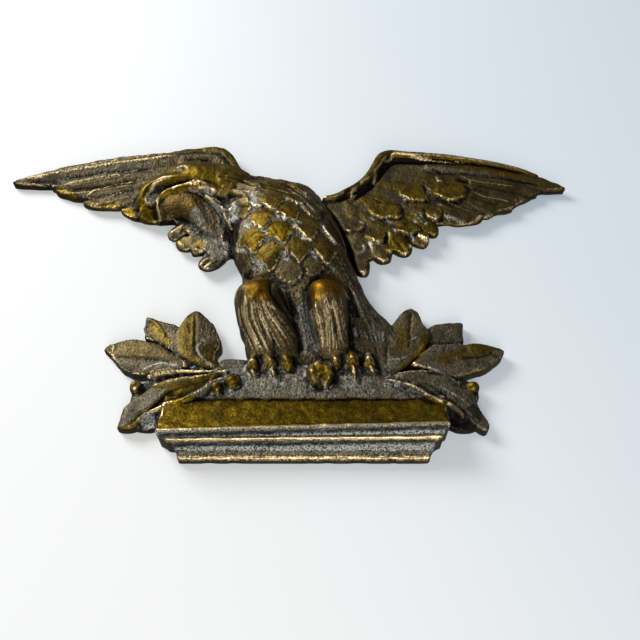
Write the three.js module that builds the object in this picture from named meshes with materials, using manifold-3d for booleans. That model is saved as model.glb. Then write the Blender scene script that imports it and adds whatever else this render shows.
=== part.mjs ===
// Cast brass wall plaque: an eagle with spread wings, standing on a moulded bracket between two sprays of leaves.
// Millimetres. The wall is the plane y = 0 and the relief stands out towards -y, x runs to the viewer's right and
// z runs up. The origin is on the flat back, behind the breast. A place on the front is written [x, z], and a
// height is the distance that the metal stands out from the wall.
import * as THREE from 'three';
import { mergeVertices } from 'three/addons/utils/BufferGeometryUtils.js';
import Module from 'manifold-3d';

// Driving sizes
const RIM = 3.5; // thickness of the casting where it thins out at its edges
const WING_HEIGHT = 8; // wings at the wrist
const BREAST_HEIGHT = 24; // crown of the breast
const KNEE_HEIGHT = 26; // thighs at the knee, the highest part
const HEAD_HEIGHT = 20;
const SHELF_HEIGHT = 16; // front edge of the bracket
const SHELF_WIDTH = 124.5;
const SHELF_TILT = 3.5; // the bracket's front edge climbs this much from left to right
const FOOT_Z = -128.5; // lowest edge of the bracket
const BEHIND = 2; // every form starts this far behind the wall and is trimmed there
const TIP_SHARE = 0.03; // a blade's tip keeps this share of its width, so that its end stays a face
const TIP_CROWDING = 1.35; // above 1, the rings of a blade stand closer together towards its tip

const wasm = await Module();
wasm.setup();

const mix = (a, b, t) => a + (b - a) * t;

// Solids from rings

// Manifold solid of a closed triangle mesh given as a flat list of coordinates, three corners to a triangle
function solidOf(coordinates) {
  const raw = new THREE.BufferGeometry();
  raw.setAttribute('position', new THREE.Float32BufferAttribute(coordinates, 3));
  const merged = mergeVertices(raw, 1e-4);
  return new wasm.Manifold(new wasm.Mesh({
    numProp: 3,
    vertProperties: merged.attributes.position.array,
    triVerts: new Uint32Array(merged.index.array),
  }));
}

// Closed skin over a row of rings with equal numbers of points, with a flat fan over the first and the last ring
function skin(rings) {
  const out = [];
  const face = (a, b, c) => out.push(...a, ...b, ...c);
  const count = rings[0].length;
  for (let i = 0; i + 1 < rings.length; i += 1) {
    for (let j = 0; j < count; j += 1) {
      const k = (j + 1) % count;
      face(rings[i][j], rings[i][k], rings[i + 1][k]);
      face(rings[i][j], rings[i + 1][k], rings[i + 1][j]);
    }
  }
  const first = rings[0];
  const last = rings[rings.length - 1];
  for (let j = 1; j + 1 < count; j += 1) {
    face(first[0], first[j + 1], first[j]);
    face(last[0], last[j], last[j + 1]);
  }
  const solid = solidOf(out);
  return solid.volume() > 0 ? solid : solidOf(flipped(out));
}

function flipped(coordinates) {
  const out = [];
  for (let i = 0; i < coordinates.length; i += 9) {
    const [a, b, c] = [0, 3, 6].map((k) => coordinates.slice(i + k, i + k + 3));
    out.push(...a, ...c, ...b);
  }
  return out;
}

// Feathers, leaves, toes and claws

// Half width along a blade: it swells from the root to its widest place, belly, and rounds off to the tip.
// With point 2 the tip is an ellipse's end, and with point 1 it is sharp.
function halfWidth({ width, start = 0.6, belly = 0.55, point = 2 }, t) {
  const swell = start + (1 - start) * Math.sin((Math.PI / 2) * Math.min(t / belly, 1));
  const past = Math.max(0, (t - belly) / (1 - belly));
  return 0.5 * width * swell * Math.max(TIP_SHARE, 1 - past ** 2) ** (1 / point);
}

// A blade's middle line is a parabola from root to tip that bows sideways, to the left of its way when bow > 0
function spine({ root, tip, bow = 0 }, t) {
  const [dx, dz] = [tip[0] - root[0], tip[1] - root[1]];
  const length = Math.hypot(dx, dz);
  const side = 4 * bow * t * (1 - t);
  const turn = 4 * bow * (1 - 2 * t);
  const tangent = new THREE.Vector2(dx - (dz * turn) / length, dz + (dx * turn) / length).normalize();
  return {
    x: root[0] + dx * t - (dz * side) / length,
    z: root[1] + dz * t + (dx * side) / length,
    across: [-tangent.y, tangent.x],
  };
}

// One blade: a roof-shaped ridge over its middle line. rise holds the ridge's height at the root and at the tip,
// crown is the drop from the ridge to the edges, and lift raises the ridge between the two. A blade that lies on a
// mass takes its heights from that mass's surface.
function blade(form) {
  const { rise, crown = 1.6, lift = 0, steps = 5, on } = form;
  const rings = [];
  for (let i = 0; i <= steps; i += 1) {
    const t = 1 - (1 - i / steps) ** TIP_CROWDING;
    const { x, z, across } = spine(form, t);
    const w = halfWidth(form, t);
    const ridge = mix(rise[0], rise[1], t) + 4 * lift * t * (1 - t);
    const at = (s, height) => [x + s * across[0], -height, z + s * across[1]];
    const top = (s, height) => {
      const place = [x + s * across[0], z + s * across[1]];
      return at(s, Math.max(1, height + (on ? heightOn(on, place) : 0)));
    };
    rings.push([at(-w, -BEHIND), top(-w, ridge - crown), top(0, ridge), top(w, ridge - crown), at(w, -BEHIND)]);
  }
  return skin(rings);
}

// Masses: body, thighs, head, mound

// Values of a table of sections [place, low side, high side, height, edge height, crest] at one place along it
function sectionAt(rows, place) {
  let i = 0;
  const rising = rows[rows.length - 1][0] > rows[0][0];
  while (i < rows.length - 2 && (rising ? place > rows[i + 1][0] : place < rows[i + 1][0])) i += 1;
  const t = THREE.MathUtils.clamp((place - rows[i][0]) / (rows[i + 1][0] - rows[i][0]), 0, 1);
  const [before, after] = [rows[i], rows[i + 1]].map(([a, b, c, d, e, crest = 0.5]) => [a, b, c, d, e, crest]);
  return before.map((value, k) => mix(value, after[k], t));
}

// Height of a mass at a place across one of its sections: an elliptic dome that stands on upright edges
function domeHeight([, low, high, height, edge, crest = 0.5], across) {
  const top = mix(low, high, crest);
  const away = across < top ? (top - across) / (top - low) : (across - top) / (high - top);
  return edge + (height - edge) * Math.sqrt(Math.max(0, 1 - Math.min(1, away) ** 2));
}

// A mass runs up or down the plaque, or across it with along 'x', and each section is an elliptic dome.
function mass({ sections, along = 'z', points = 7 }) {
  const rings = sections.map((row) => {
    const [place, low, high] = row;
    const at = (across, height) => (along === 'z' ? [across, -height, place] : [place, -height, across]);
    const ring = [at(low, -BEHIND)];
    for (let i = 0; i < points; i += 1) {
      const across = mix(low, high, 0.5 - 0.5 * Math.cos((Math.PI * i) / (points - 1)));
      ring.push(at(across, domeHeight(row, across)));
    }
    ring.push(at(high, -BEHIND));
    return ring;
  });
  return skin(rings);
}

// Height of the surface of a mass at a place on the front
function heightOn({ sections, along = 'z' }, [x, z]) {
  const [place, across] = along === 'z' ? [z, x] : [x, z];
  return domeHeight(sectionAt(sections, place), across);
}

// Berries and other round knobs: a dome on an upright cylinder
function knob({ at: [x, z], radius, height, base }) {
  const profile = [[0, -BEHIND], [radius, -BEHIND], [radius, base]];
  for (const turn of [30, 60, 90]) {
    const a = THREE.MathUtils.degToRad(turn);
    profile.push([turn === 90 ? 0 : radius * Math.cos(a), mix(base, height, Math.sin(a))]);
  }
  const lathe = new THREE.LatheGeometry(profile.map(([r, y]) => new THREE.Vector2(r, y)), 10);
  lathe.scale(1, -1, 1);
  lathe.translate(x, 0, z);
  const coordinates = [...lathe.toNonIndexed().attributes.position.array];
  const solid = solidOf(coordinates);
  return solid.volume() > 0 ? solid : solidOf(flipped(coordinates));
}

// Left wing, spread low to the viewer's left

const leftWing = {
  along: 'x',
  sections: [
    [-163, 34.6, 35.8, 4.5, 4],
    [-160, 33.7, 38.3, 5, RIM],
    [-150, 33.1, 41, 5, RIM],
    [-139, 33, 44.2, 5, RIM],
    [-135, 30, 45.2, 5, RIM],
    [-125, 25.5, 47.6, 5.5, RIM],
    [-112, 18, 50.8, 6, RIM],
    [-99, 16.5, 53.5, 6.5, 4],
    [-90, 11, 55.8, 7, 4.5],
    [-76, 7.8, 58.8, 8, 5],
    [-66, 1, 60, 8, 6],
    [-58, -8, 60.8, WING_HEIGHT, 6.5],
    [-52, -17, 61.2, WING_HEIGHT, 7],
    [-47, -21, 60, WING_HEIGHT, 7],
    [-42.5, -20, 54.5, WING_HEIGHT, 7],
    [-38, -18, 46, WING_HEIGHT, 7],
    [-33, -17, 38, WING_HEIGHT, 7],
  ],
};

const leftFeathers = [
  // leading edge, then the primaries from the outermost in
  { root: [-45, 52.5], tip: [-163, 35.3], width: 12, bow: -3, start: 0.4, belly: 0.22, rise: [8, 5.2], lift: 2.2 },
  { root: [-84, 40], tip: [-141.5, 32], width: 8, bow: 0.6, rise: [7.4, 6], crown: 2, lift: 1.4 },
  { root: [-84, 33], tip: [-139, 30], width: 9.5, bow: 4, rise: [8.5, 5.2], crown: 2, point: 1.5 },
  { root: [-84, 26], tip: [-122, 20.8], width: 9.5, bow: 2.6, rise: [8, 5.2], crown: 2, point: 1.5 },
  { root: [-62, 15], tip: [-100.5, 15.5], width: 13, bow: 2.2, rise: [8.5, 5.4], crown: 2, point: 1.6 },
  // lobes of the inner edge
  { root: [-56, 8], tip: [-73.5, 0.5], width: 9.5, bow: 0.5, rise: [7.5, 6.4], crown: 2.6, point: 2.4 },
  { root: [-53, 1], tip: [-68, -8], width: 9, bow: 0.5, rise: [7.2, 6.2], crown: 2.6, point: 2.4 },
  { root: [-46, -2], tip: [-59.5, -15], width: 10, bow: 1, rise: [8, 7], crown: 2.6, point: 2.4 },
  { root: [-41, -8], tip: [-53.5, -25.5], width: 11, bow: 1, rise: [7, 6.6], crown: 2.6, point: 2.4 },
];

// Right wing, raised, with its coverts in rows

const rightWing = {
  along: 'x',
  sections: [
    [8, -10, 21.5, 6, 5],
    [14, -20, 24, 6, 5],
    [21, -24, 27.2, 6, 5],
    [28, -22, 33, 6, 5],
    [34, -17, 42, 6, 5],
    [38, -15, 50.5, 6, 5],
    [41, -13.5, 57.8, 6, 5],
    [45, -13, 59, 6, 5],
    [54, -9, 58.6, 6, 5],
    [62, -3, 57.8, 6, 4.5],
    [67, 6, 57, 6, 4.5],
    [76, 7, 55.8, 5.5, 4.5],
    [88, 9, 53.8, 5.5, 4],
    [100, 13.4, 51, 5.5, 4],
    [108, 16, 48.6, 5.5, 4],
    [120, 23.5, 44, 5, RIM],
    [128, 29.5, 39, 5, RIM],
    [134, 30, 35.6, 4.5, RIM],
    [140, 30.2, 32.6, 4.5, RIM],
  ],
};

const rightFeathers = [
  // rim of the leading edge, from the shoulder up to the wrist and out along the top
  { root: [9, 20], tip: [42, 54.5], width: 5.5, bow: -8, start: 0.9, belly: 0.5, rise: [9, 10.5], crown: 3 },
  { root: [42.5, 53.8], tip: [129, 38.5], width: 6.5, bow: 3.8, start: 0.7, belly: 0.6, rise: [10.5, 6], crown: 3 },
  // primaries, outermost first
  { root: [70, 45], tip: [141.5, 30.6], width: 9, bow: 3, start: 0.9, belly: 0.5, rise: [7, 5.2], point: 1.8 },
  { root: [74, 36], tip: [126.5, 27], width: 11, bow: 1.6, rise: [7.4, 5.4], crown: 2.2, point: 1.5 },
  { root: [74, 27], tip: [111, 16.5], width: 12, bow: 0.6, rise: [7, 5.4], crown: 2.2, point: 1.5 },
  { root: [62, 17], tip: [94, 10.5], width: 11, bow: -1.6, rise: [6.6, 5.4], crown: 2.2, point: 1.5 },
];

// Coverts: root, tip and width, in rows from the outer end of the wing in
const COVERT = { bow: 1, rise: [6.4, 8.8], crown: 1.6, point: 2.4 };
const coverts = [
  [[60, 37], [76, 33], 10], [[63, 31], [88.5, 27.5], 13], [[42, 32], [65.5, 24.5], 12.5],
  [[55, 17], [70.5, 13.5], 9], [[28, 22], [50.5, 11.5], 15], [[42, 13], [56.5, 0.5], 11.5],
  [[53, 8], [68.5, -1], 9.5], [[47, 4], [62.5, -8], 10], [[40, 0], [52.5, -14.5], 11.5],
  [[30, 9], [40, -5], 11.5], [[33, -6], [41, -19.5], 11], [[22, 17], [26, -1], 11],
  [[24, 0], [27, -15], 10], [[24, -13], [28.5, -28], 9],
];

function covertBlades() {
  return coverts.map(([root, tip, width]) => ({ ...COVERT, root, tip, width }));
}

// Body: breast and belly, thighs, and the flank and tail that sweep down to the right

const breast = {
  sections: [
    [37, -46, -30, 8.5, 7.5],
    [33, -46, -17, 10, 7.5],
    [29, -46, -3, 12, 8],
    [26, -45, 3.5, 15, 8],
    [20, -44, 8.5, 20, 7],
    [8, -41, 15, 23, 6, 0.48],
    [-6, -39, 20.5, BREAST_HEIGHT, 6, 0.48],
    [-20, -36.5, 23, BREAST_HEIGHT, 6],
    [-31, -32.5, 26, 21, 6],
    [-42, -30, 29, 16, 5],
    [-60, -28, 36, 12, 5, 0.45],
    [-84, -24, 36, 10, 5],
  ],
  points: 9,
};

const thighs = [
  {
    sections: [
      [-44, -27, -15, 18, 15],
      [-46.5, -31.5, -11.5, 24, 14],
      [-51, -34.5, -8, KNEE_HEIGHT, 12, 0.48],
      [-60, -32.5, -5.5, 24, 8],
      [-70, -28.5, -2.5, 19, 6],
      [-80, -26.5, -0.5, 15, 5],
      [-88, -25, 0, 12, 5],
    ],
  },
  {
    sections: [
      [-44, 4, 15, 18, 15],
      [-46.5, 1, 18.5, 24, 14],
      [-51, 0, 20.5, KNEE_HEIGHT, 12, 0.48],
      [-60, 0.5, 21.5, 24, 8, 0.48],
      [-70, 2, 21.5, 19, 6],
      [-80, 5, 22, 15, 5],
      [-88, 8, 26, 11, 5],
    ],
  },
];

// Long feathers that fall from the knees to the feet. Their upper ends follow an arc round the knee.
const THIGH_FEATHER = { width: 4.2, start: 0.5, belly: 0.4, point: 1.3, rise: [-0.6, 1.2], crown: 1.6 };
const THIGH_FEATHERS = 5;
const KNEE_ROW = -56;
const FOOT_ROW = -84;
const FEATHER_TOP = -54;
const FEATHER_ARC = 5;
const FEATHER_END = -81;

function thighBlades() {
  return thighs.flatMap((thigh) => Array.from({ length: THIGH_FEATHERS }, (_, i) => {
    const t = (i + 0.5) / THIGH_FEATHERS;
    const [, left, right] = sectionAt(thigh.sections, KNEE_ROW);
    const [, leftFoot, rightFoot] = sectionAt(thigh.sections, FOOT_ROW);
    return {
      ...THIGH_FEATHER,
      root: [mix(left, right, t), FEATHER_TOP - FEATHER_ARC * Math.sin(Math.PI * t)],
      tip: [mix(leftFoot, rightFoot, t), FEATHER_END],
      on: thigh,
    };
  }));
}

const flank = {
  sections: [
    [-26, 14, 24.5, 12, 6, 0.4],
    [-34, 15, 25.5, 12, 6, 0.4],
    [-44, 18, 29.5, 11, 5, 0.4],
    [-54, 20, 35, 10, 4.5, 0.35],
    [-62, 22, 43, 9, 4.5, 0.3],
    [-72, 24, 44, 8, 4.5, 0.3],
    [-84, 26, 42, 7, 4.5, 0.3],
  ],
};

// Breast scales: the tips of each row from the neck down, and the point above the head that they all hang from
const scaleTips = [
  [-27.5, 12], [-16, 9], [-4, 11],
  [-15, -3], [-2, 1], [6.5, -8],
  [-32, 1], [-20.5, -15], [-6, -10.5], [1.5, -23], [16, -21.5],
  [-31, -20.5], [-25, -27], [-10.5, -24.5], [-2.5, -33], [11, -33.5],
  [-30, -35], [-17.5, -37], [-8.5, -42], [2.5, -39.5],
];
const SCALE_FAN = [-10, 130];
const SCALE = { width: 12.5, start: 0.6, belly: 0.45, point: 1.25, rise: [-0.8, 2.2], crown: 0.8, steps: 4 };
const SCALE_LENGTH = 15;

function scaleBlades() {
  return scaleTips.map((tip) => {
    const way = new THREE.Vector2(SCALE_FAN[0] - tip[0], SCALE_FAN[1] - tip[1]).setLength(SCALE_LENGTH);
    return { ...SCALE, root: [tip[0] + way.x, tip[1] + way.y], tip, on: breast };
  });
}

// Head, turned to the left over the wing, with its beak open

const head = {
  along: 'x',
  sections: [
    [-30, 14, 32, 16, 12],
    [-38, 14, 38, 18, 12],
    [-48, 16, 40, 19, 11],
    [-58, 20, 41, HEAD_HEIGHT, 11, 0.45],
    [-66, 21, 41, 19, 11, 0.45],
    [-73, 22, 39, 17, 10, 0.5],
    [-78, 23, 35, 14, 9, 0.6],
  ],
};

const throat = {
  along: 'x',
  sections: [
    [-78, 8, 15, 11, 9],
    [-74, 7.8, 19.5, 14.5, 9],
    [-66, 6, 21.5, 16, 9],
    [-58, 0, 20, 15.5, 8],
    [-51, -7, 16, 13.5, 8],
    [-45, -8, 11, 11, 7],
  ],
};

const BEAK = { start: 1, belly: 0.5, crown: 4 };
const face = [
  // brow, the ridge of the upper mandible and its hook
  { root: [-48, 38], tip: [-78, 33], width: 5, bow: -1.5, start: 0.2, rise: [15, 17], crown: 3, lift: 1.4 },
  { ...BEAK, root: [-66, 31], tip: [-89.5, 20], width: 8.5, bow: -4.5, belly: 0.4, rise: [19, 14] },
  { ...BEAK, root: [-84.5, 28], tip: [-84, 10.5], width: 6, bow: -4, rise: [15, 11], crown: 3, point: 1.4 },
  // edge of the lower mandible, from the corner of the mouth round the throat
  { ...BEAK, root: [-57, 23.5], tip: [-78.5, 7.5], width: 4, bow: -7.5, belly: 0.6, rise: [18, 13.5], lift: 1 },
];

// Neck hackles: locks that fall from the cheek to the shoulder
const HACKLE = { width: 6, crown: 2.5, point: 1.4 };
const hackles = [
  { ...HACKLE, root: [-50, 25], tip: [-29, 9], bow: 3, rise: [19, 20.5] },
  { ...HACKLE, root: [-52, 20], tip: [-33, 1], bow: 3, rise: [18, 17] },
  { ...HACKLE, root: [-53, 16], tip: [-38.5, -6], bow: 3, rise: [16.5, 12.5] },
  { ...HACKLE, root: [-53, 10], tip: [-43.5, -11], bow: 2.5, rise: [15, 9.5] },
];

// Feet, mound and nut

const mound = {
  sections: [
    [-79.5, -38.5, 38, 6.5, 5],
    [-84, -42, 42, 9, 5],
    [-92, -46, 46, 11, 7],
    [-104, -54, 54, 10, 8],
  ],
};

const TOE = { width: 4.6, rise: [14, 14], crown: 2.5, lift: 1.5, steps: 4 };
const CLAW = { width: 3, rise: [13.5, 10], crown: 2, steps: 4, point: 1.2 };
const CLAW_REACH = [1.2, -8]; // from the end of the toe to the point of the claw
const toes = [
  [[-22.5, -80], [-21.5, -89]],
  [[-16, -79], [-13.5, -88]],
  [[-8.5, -79], [-5.5, -87.5]],
  [[13, -80], [14, -88]],
  [[20.5, -79], [22, -88.5]],
  [[28.5, -80], [30, -88]],
];

function footBlades() {
  return toes.flatMap(([root, tip]) => [
    { ...TOE, root, tip },
    { ...CLAW, root: tip, tip: [tip[0] + CLAW_REACH[0], tip[1] + CLAW_REACH[1]] },
  ]);
}

const nut = { root: [6, -84], tip: [6.5, -99], width: 12, start: 0.8, belly: 0.4, rise: [13, 13], crown: 4, lift: 3 };

const berries = [
  { at: [-32, -94], radius: 3.6, height: 14, base: 9 },
  { at: [-39, -97], radius: 3, height: 13, base: 9 },
  { at: [-76, -94], radius: 3, height: 9, base: 5 },
  { at: [76, -94], radius: 3, height: 8, base: 5 },
];

// Leaf sprays on both sides

const LEAF = { start: 0.3, belly: 0.55, crown: 3, lift: 2 };
const BACKING = { start: 0.6, belly: 0.55, crown: 0.5 }; // thin metal that joins the leaves of a spray

const leftLeaves = [
  { ...LEAF, root: [-43, -86], tip: [-53, -51.5], width: 20.5, bow: 2.2, start: 0.4, rise: [8, 7] },
  { ...LEAF, root: [-52, -84], tip: [-77, -55.5], width: 15, rise: [6, 5], crown: 2, lift: 1 },
  { ...LEAF, root: [-50, -84], tip: [-94, -74], width: 17, bow: 1.5, rise: [9, 6] },
  { ...LEAF, root: [-38, -88], tip: [-81.5, -112], width: 15, bow: 1, belly: 0.6, rise: [11, 7], lift: 3 },
  { ...LEAF, root: [-38, -86], tip: [-74, -91], width: 7, bow: -1, start: 0.4, rise: [10, 7], lift: 1 },
  { ...BACKING, root: [-42, -87], tip: [-64, -79], width: 24, rise: [5, 4.5] },
  { ...BACKING, root: [-46, -92], tip: [-78, -101], width: 20, rise: [6, 4.5] },
  { ...BACKING, root: [-56, -104], tip: [-79, -110.5], width: 13, start: 0.9, rise: [5, 4] },
];

const rightLeaves = [
  { ...LEAF, root: [38, -88], tip: [51.5, -50.5], width: 20, bow: -2, start: 0.5, rise: [8, 7] },
  { root: [64, -82], tip: [66.7, -59.5], width: 16.5, start: 0.9, rise: [5.5, 5], crown: 1.5, point: 9 },
  { ...LEAF, root: [50, -82], tip: [93, -75.5], width: 17, bow: -1.5, rise: [9, 6] },
  { ...LEAF, root: [42, -87], tip: [80.5, -112], width: 16, belly: 0.6, rise: [11, 7], lift: 3 },
  { ...BACKING, root: [40, -84], tip: [62, -80], width: 28, rise: [5, 4.5] },
  { ...BACKING, root: [46, -92], tip: [78, -98], width: 20, rise: [6, 4.5] },
  { ...BACKING, root: [56, -104], tip: [78, -110], width: 14, start: 0.9, rise: [5, 4] },
];

// Bracket: a sloping shelf over stepped mouldings that return to the wall at both ends

// Rows are [z, height, how far the ends stand in from the shelf's full width, how far the right end is higher]
const bracketRows = [
  [-100, 8, 0, 0],
  [-117.6, SHELF_HEIGHT - 0.4, 0, SHELF_TILT],
  [-118.4, SHELF_HEIGHT, 0, SHELF_TILT],
  [-119.2, SHELF_HEIGHT - 0.4, 0.3, SHELF_TILT],
  [-119.8, SHELF_HEIGHT - 3, 1.6, SHELF_TILT],
  [-121.4, 12.2, 3, SHELF_TILT / 2],
  [-122, 12.8, 3.2, SHELF_TILT / 3],
  [-122.7, 11.8, 4.4, SHELF_TILT / 3],
  [-123.4, 9, 6.5, 0],
  [-125.2, 6.6, 7.6, 0],
  [-127, 4.6, 8.2, 0],
  [-127.8, 4.4, 8.4, 0],
  [FOOT_Z, RIM, 9.2, 0],
];

function bracket() {
  const rings = bracketRows.map(([z, height, inset, tilt]) => {
    const half = SHELF_WIDTH / 2 - inset;
    const [left, right] = [z - tilt / 2, z + tilt / 2];
    return [[-half, BEHIND, left], [-half, -height, left], [half, -height, right], [half, BEHIND, right]];
  });
  return skin(rings);
}

// The casting

// Joined in pairs, so that no join grows slow
function joined(solids) {
  if (solids.length === 1) return solids[0];
  const half = solids.length >> 1;
  return joined(solids.slice(0, half)).add(joined(solids.slice(half)));
}

// Everything behind the wall is cut away, which leaves the flat back
const BEYOND = 500; // the cutting slab reaches past the plaque on every side
function trimmed(solid) {
  const slab = new THREE.BoxGeometry(BEYOND, 2 * BEHIND, BEYOND);
  slab.translate(0, BEHIND, 0);
  return solid.subtract(solidOf([...slab.toNonIndexed().attributes.position.array]));
}

const blades = [
  ...leftFeathers, ...rightFeathers, ...covertBlades(), ...scaleBlades(), ...thighBlades(),
  ...face, ...hackles, ...footBlades(), nut, ...leftLeaves, ...rightLeaves,
];
const masses = [leftWing, rightWing, breast, ...thighs, flank, head, throat, mound];
const casting = trimmed(joined([...blades.map(blade), ...masses.map(mass), ...berries.map(knob), bracket()]));

const mesh = casting.getMesh();
const geometry = new THREE.BufferGeometry();
geometry.setAttribute('position', new THREE.BufferAttribute(mesh.vertProperties, 3));
geometry.setIndex(new THREE.BufferAttribute(mesh.triVerts, 1));
const faceted = geometry.toNonIndexed();
faceted.computeVertexNormals();

const brass = new THREE.MeshStandardMaterial({ color: 0x5a4a1e, roughness: 0.45, metalness: 0.9 });
const plaque = new THREE.Mesh(faceted, brass);
plaque.name = 'eagle_plaque';

const part = new THREE.Group();
part.add(plaque);

export default part;
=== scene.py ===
import bpy
import math
import numpy as np
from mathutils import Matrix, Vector
from mathutils.geometry import delaunay_2d_cdt


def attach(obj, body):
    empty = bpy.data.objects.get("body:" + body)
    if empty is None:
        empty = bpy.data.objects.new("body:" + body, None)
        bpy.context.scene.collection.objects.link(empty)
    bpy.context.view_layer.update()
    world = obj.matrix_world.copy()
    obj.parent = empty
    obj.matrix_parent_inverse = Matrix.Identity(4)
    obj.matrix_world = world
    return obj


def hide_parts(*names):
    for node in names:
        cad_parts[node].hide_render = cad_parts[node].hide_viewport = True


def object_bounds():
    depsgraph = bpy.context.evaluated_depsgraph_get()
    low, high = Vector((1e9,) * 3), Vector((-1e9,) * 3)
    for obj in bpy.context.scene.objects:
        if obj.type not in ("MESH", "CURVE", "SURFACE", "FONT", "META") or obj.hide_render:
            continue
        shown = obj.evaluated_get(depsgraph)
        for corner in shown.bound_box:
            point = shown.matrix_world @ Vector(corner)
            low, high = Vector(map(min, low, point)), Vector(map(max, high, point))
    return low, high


# Aged cast brass plaque of an eagle. The relief is worked out on a grid as the height of the metal over the
# wall, in millimetres, from the same forms as the solid, and carved further. Points are (x, z) on the front.

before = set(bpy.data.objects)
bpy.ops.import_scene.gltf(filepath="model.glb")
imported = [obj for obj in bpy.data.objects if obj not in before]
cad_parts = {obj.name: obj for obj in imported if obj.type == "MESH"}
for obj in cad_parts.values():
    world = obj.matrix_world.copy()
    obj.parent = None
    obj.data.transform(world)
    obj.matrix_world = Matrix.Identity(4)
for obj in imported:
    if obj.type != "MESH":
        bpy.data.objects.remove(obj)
CAD_BOX = [list(corner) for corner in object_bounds()]

# Camera of the photograph: it looks up at the plaque from below
CAMERA = (6.9, 288.1, -248.2)  # x, distance from the wall, z
CAMERA_TILT = 56.0
LENS, SENSOR = 40.0, 36.0

STEP = 0.58  # grid spacing
FINE = 0.3  # row spacing on the bracket, whose mouldings are steep
SOFT = 0.9  # width over which one form's edge falls to the form below
RIM = 3.5  # height of the casting's thin edges
FAR = -9.0  # stands for a place well outside the outline

# Heights at which the views that lines were read from are squared up
AT_LEFT, AT_RIGHT, AT_SHOULDER = 5, 6, 8
AT_FLANK, AT_TOES, AT_NUT, AT_LEG, AT_HEAD, AT_NECK = 14, 14, 15, 16, 16, 18

xs = np.arange(-165.5, 144.0, STEP)
zs = np.concatenate([np.arange(-130.0, -116.5, FINE), np.arange(-116.5, 63.5, STEP)])
X, Z = np.meshgrid(xs, zs)
H = np.zeros_like(X)  # height of the metal
SKIRT = np.full_like(X, RIM)  # height just outside the outline
IN = np.full_like(X, FAR)  # distance inside the outline
SKIRT_IN = np.full_like(X, FAR)
# Masks of the paint. The darkening mask holds painted shade and painted shadows as well as dark patina in
# hollows; the mask of wear also holds painted highlights.
PAINT = {name: np.zeros_like(X) for name in ("gold", "warm", "grey", "rough", "pale", "dark", "worn")}


def noise(wave_x, wave_z=None, seed=1):
    """Smooth random field of unit spread, with features about wave_x by wave_z millimetres"""
    wave_z = wave_z or wave_x
    field = np.fft.rfft2(np.random.default_rng(seed).standard_normal(X.shape))
    kz = np.fft.fftfreq(X.shape[0], STEP)[:, None] * wave_z
    kx = np.fft.rfftfreq(X.shape[1], STEP)[None, :] * wave_x
    k = kx ** 2 + kz ** 2
    field = np.fft.irfft2(field * k * np.exp(-2.2 * k), X.shape)
    return field / field.std()


def bell(reach, spread):
    """Gaussian weights that add up to 1"""
    weights = np.exp(-0.5 * (np.arange(-reach, reach + 1) * spread) ** 2)
    return weights / weights.sum()


def blur(field, size):
    """Gaussian blur with a spread of size millimetres"""
    reach = max(1, int(3 * size / STEP + 0.5))
    for axis in (0, 1):
        pad = [(0, 0), (0, 0)]
        pad[axis] = (reach, reach)
        wide = np.pad(field, pad, mode="edge")
        out = np.zeros_like(field)
        for i, share in enumerate(bell(reach, STEP / size)):
            out += share * (wide[i:i + field.shape[0]] if axis == 0 else wide[:, i:i + field.shape[1]])
        field = out
    return field


# The forms' edges wander a little, as they do on sand castings
WARP_X, WARP_Z = 0.22 * noise(9, seed=11), 0.22 * noise(9, seed=12)
XW, ZW = X + WARP_X, Z + WARP_Z
RAGGED = noise(2.6, seed=21)


def smooth(t):
    t = np.clip(t, 0, 1)
    return t * t * (3 - 2 * t)


def fall_off(distance, width):
    return np.exp(-(distance / width) ** 2)


def window(x0, x1, z0, z1, pad=3.0):
    """Part of the grid that holds a rectangle"""
    i0, i1 = np.searchsorted(zs, (z0 - pad, z1 + pad))
    j0, j1 = np.searchsorted(xs, (x0 - pad, x1 + pad))
    return np.s_[i0:i1, j0:j1]


def colour_in(win, share, paint):
    for name, value in (paint or {}).items():
        PAINT[name][win] += (value - PAINT[name][win]) * share


def lay(win, top, inside, soft=SOFT, paint=None):
    """Lays a form over what is there, with its edge softened"""
    old = H[win]
    share = smooth(inside / soft + 0.5)
    over = old + np.maximum(top - old, 0) * share
    colour_in(win, share * smooth((top - old + 0.3) / 0.6), paint)
    H[win] = np.where(IN[win] > 0, over, np.where(inside > 0, top, old))
    better = (inside > SKIRT_IN[win]) & (inside > -2.5)
    SKIRT[win] = np.where(better, top, SKIRT[win])
    SKIRT_IN[win] = np.where(better, inside, SKIRT_IN[win])
    IN[win] = np.maximum(IN[win], inside)


def columns(rows, at):
    """Values of a table of sections at places along it, with its corners rounded off"""
    rows = np.array(sorted((list(row) + [0.5])[:6] for row in rows))
    apart, reach = 0.25, 14
    fine = np.arange(rows[0, 0], rows[-1, 0] + apart, apart)
    out = []
    for k in range(1, 6):
        line = np.pad(np.interp(fine, rows[:, 0], rows[:, k]), reach, mode="reflect", reflect_type="odd")
        out.append(np.interp(at, fine, np.convolve(line, bell(reach, apart / 1.1), mode="valid")))
    slope = [np.interp(at, fine, np.gradient(np.interp(fine, rows[:, 0], rows[:, k]), apart)) for k in (1, 2)]
    return out, slope, rows[0, 0], rows[-1, 0]


def dome(rows, along, win, power=2.0):
    """Height of a rounded form and distance inside its outline, from its sections"""
    place, across = (ZW[win], XW[win]) if along == "z" else (XW[win], ZW[win])
    (low, high, height, edge, crest), slope, first, last = columns(rows, place)
    top = low + (high - low) * crest
    away = np.where(across < top, (top - across) / (top - low), (across - top) / (high - top))
    surface = edge + (height - edge) * np.sqrt(np.clip(1 - np.clip(away, 0, 1) ** power, 0, 1))
    inside = np.minimum((across - low) / np.hypot(1, slope[0]), (high - across) / np.hypot(1, slope[1]))
    return surface, np.minimum(inside, np.minimum(place - first, last - place))


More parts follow.
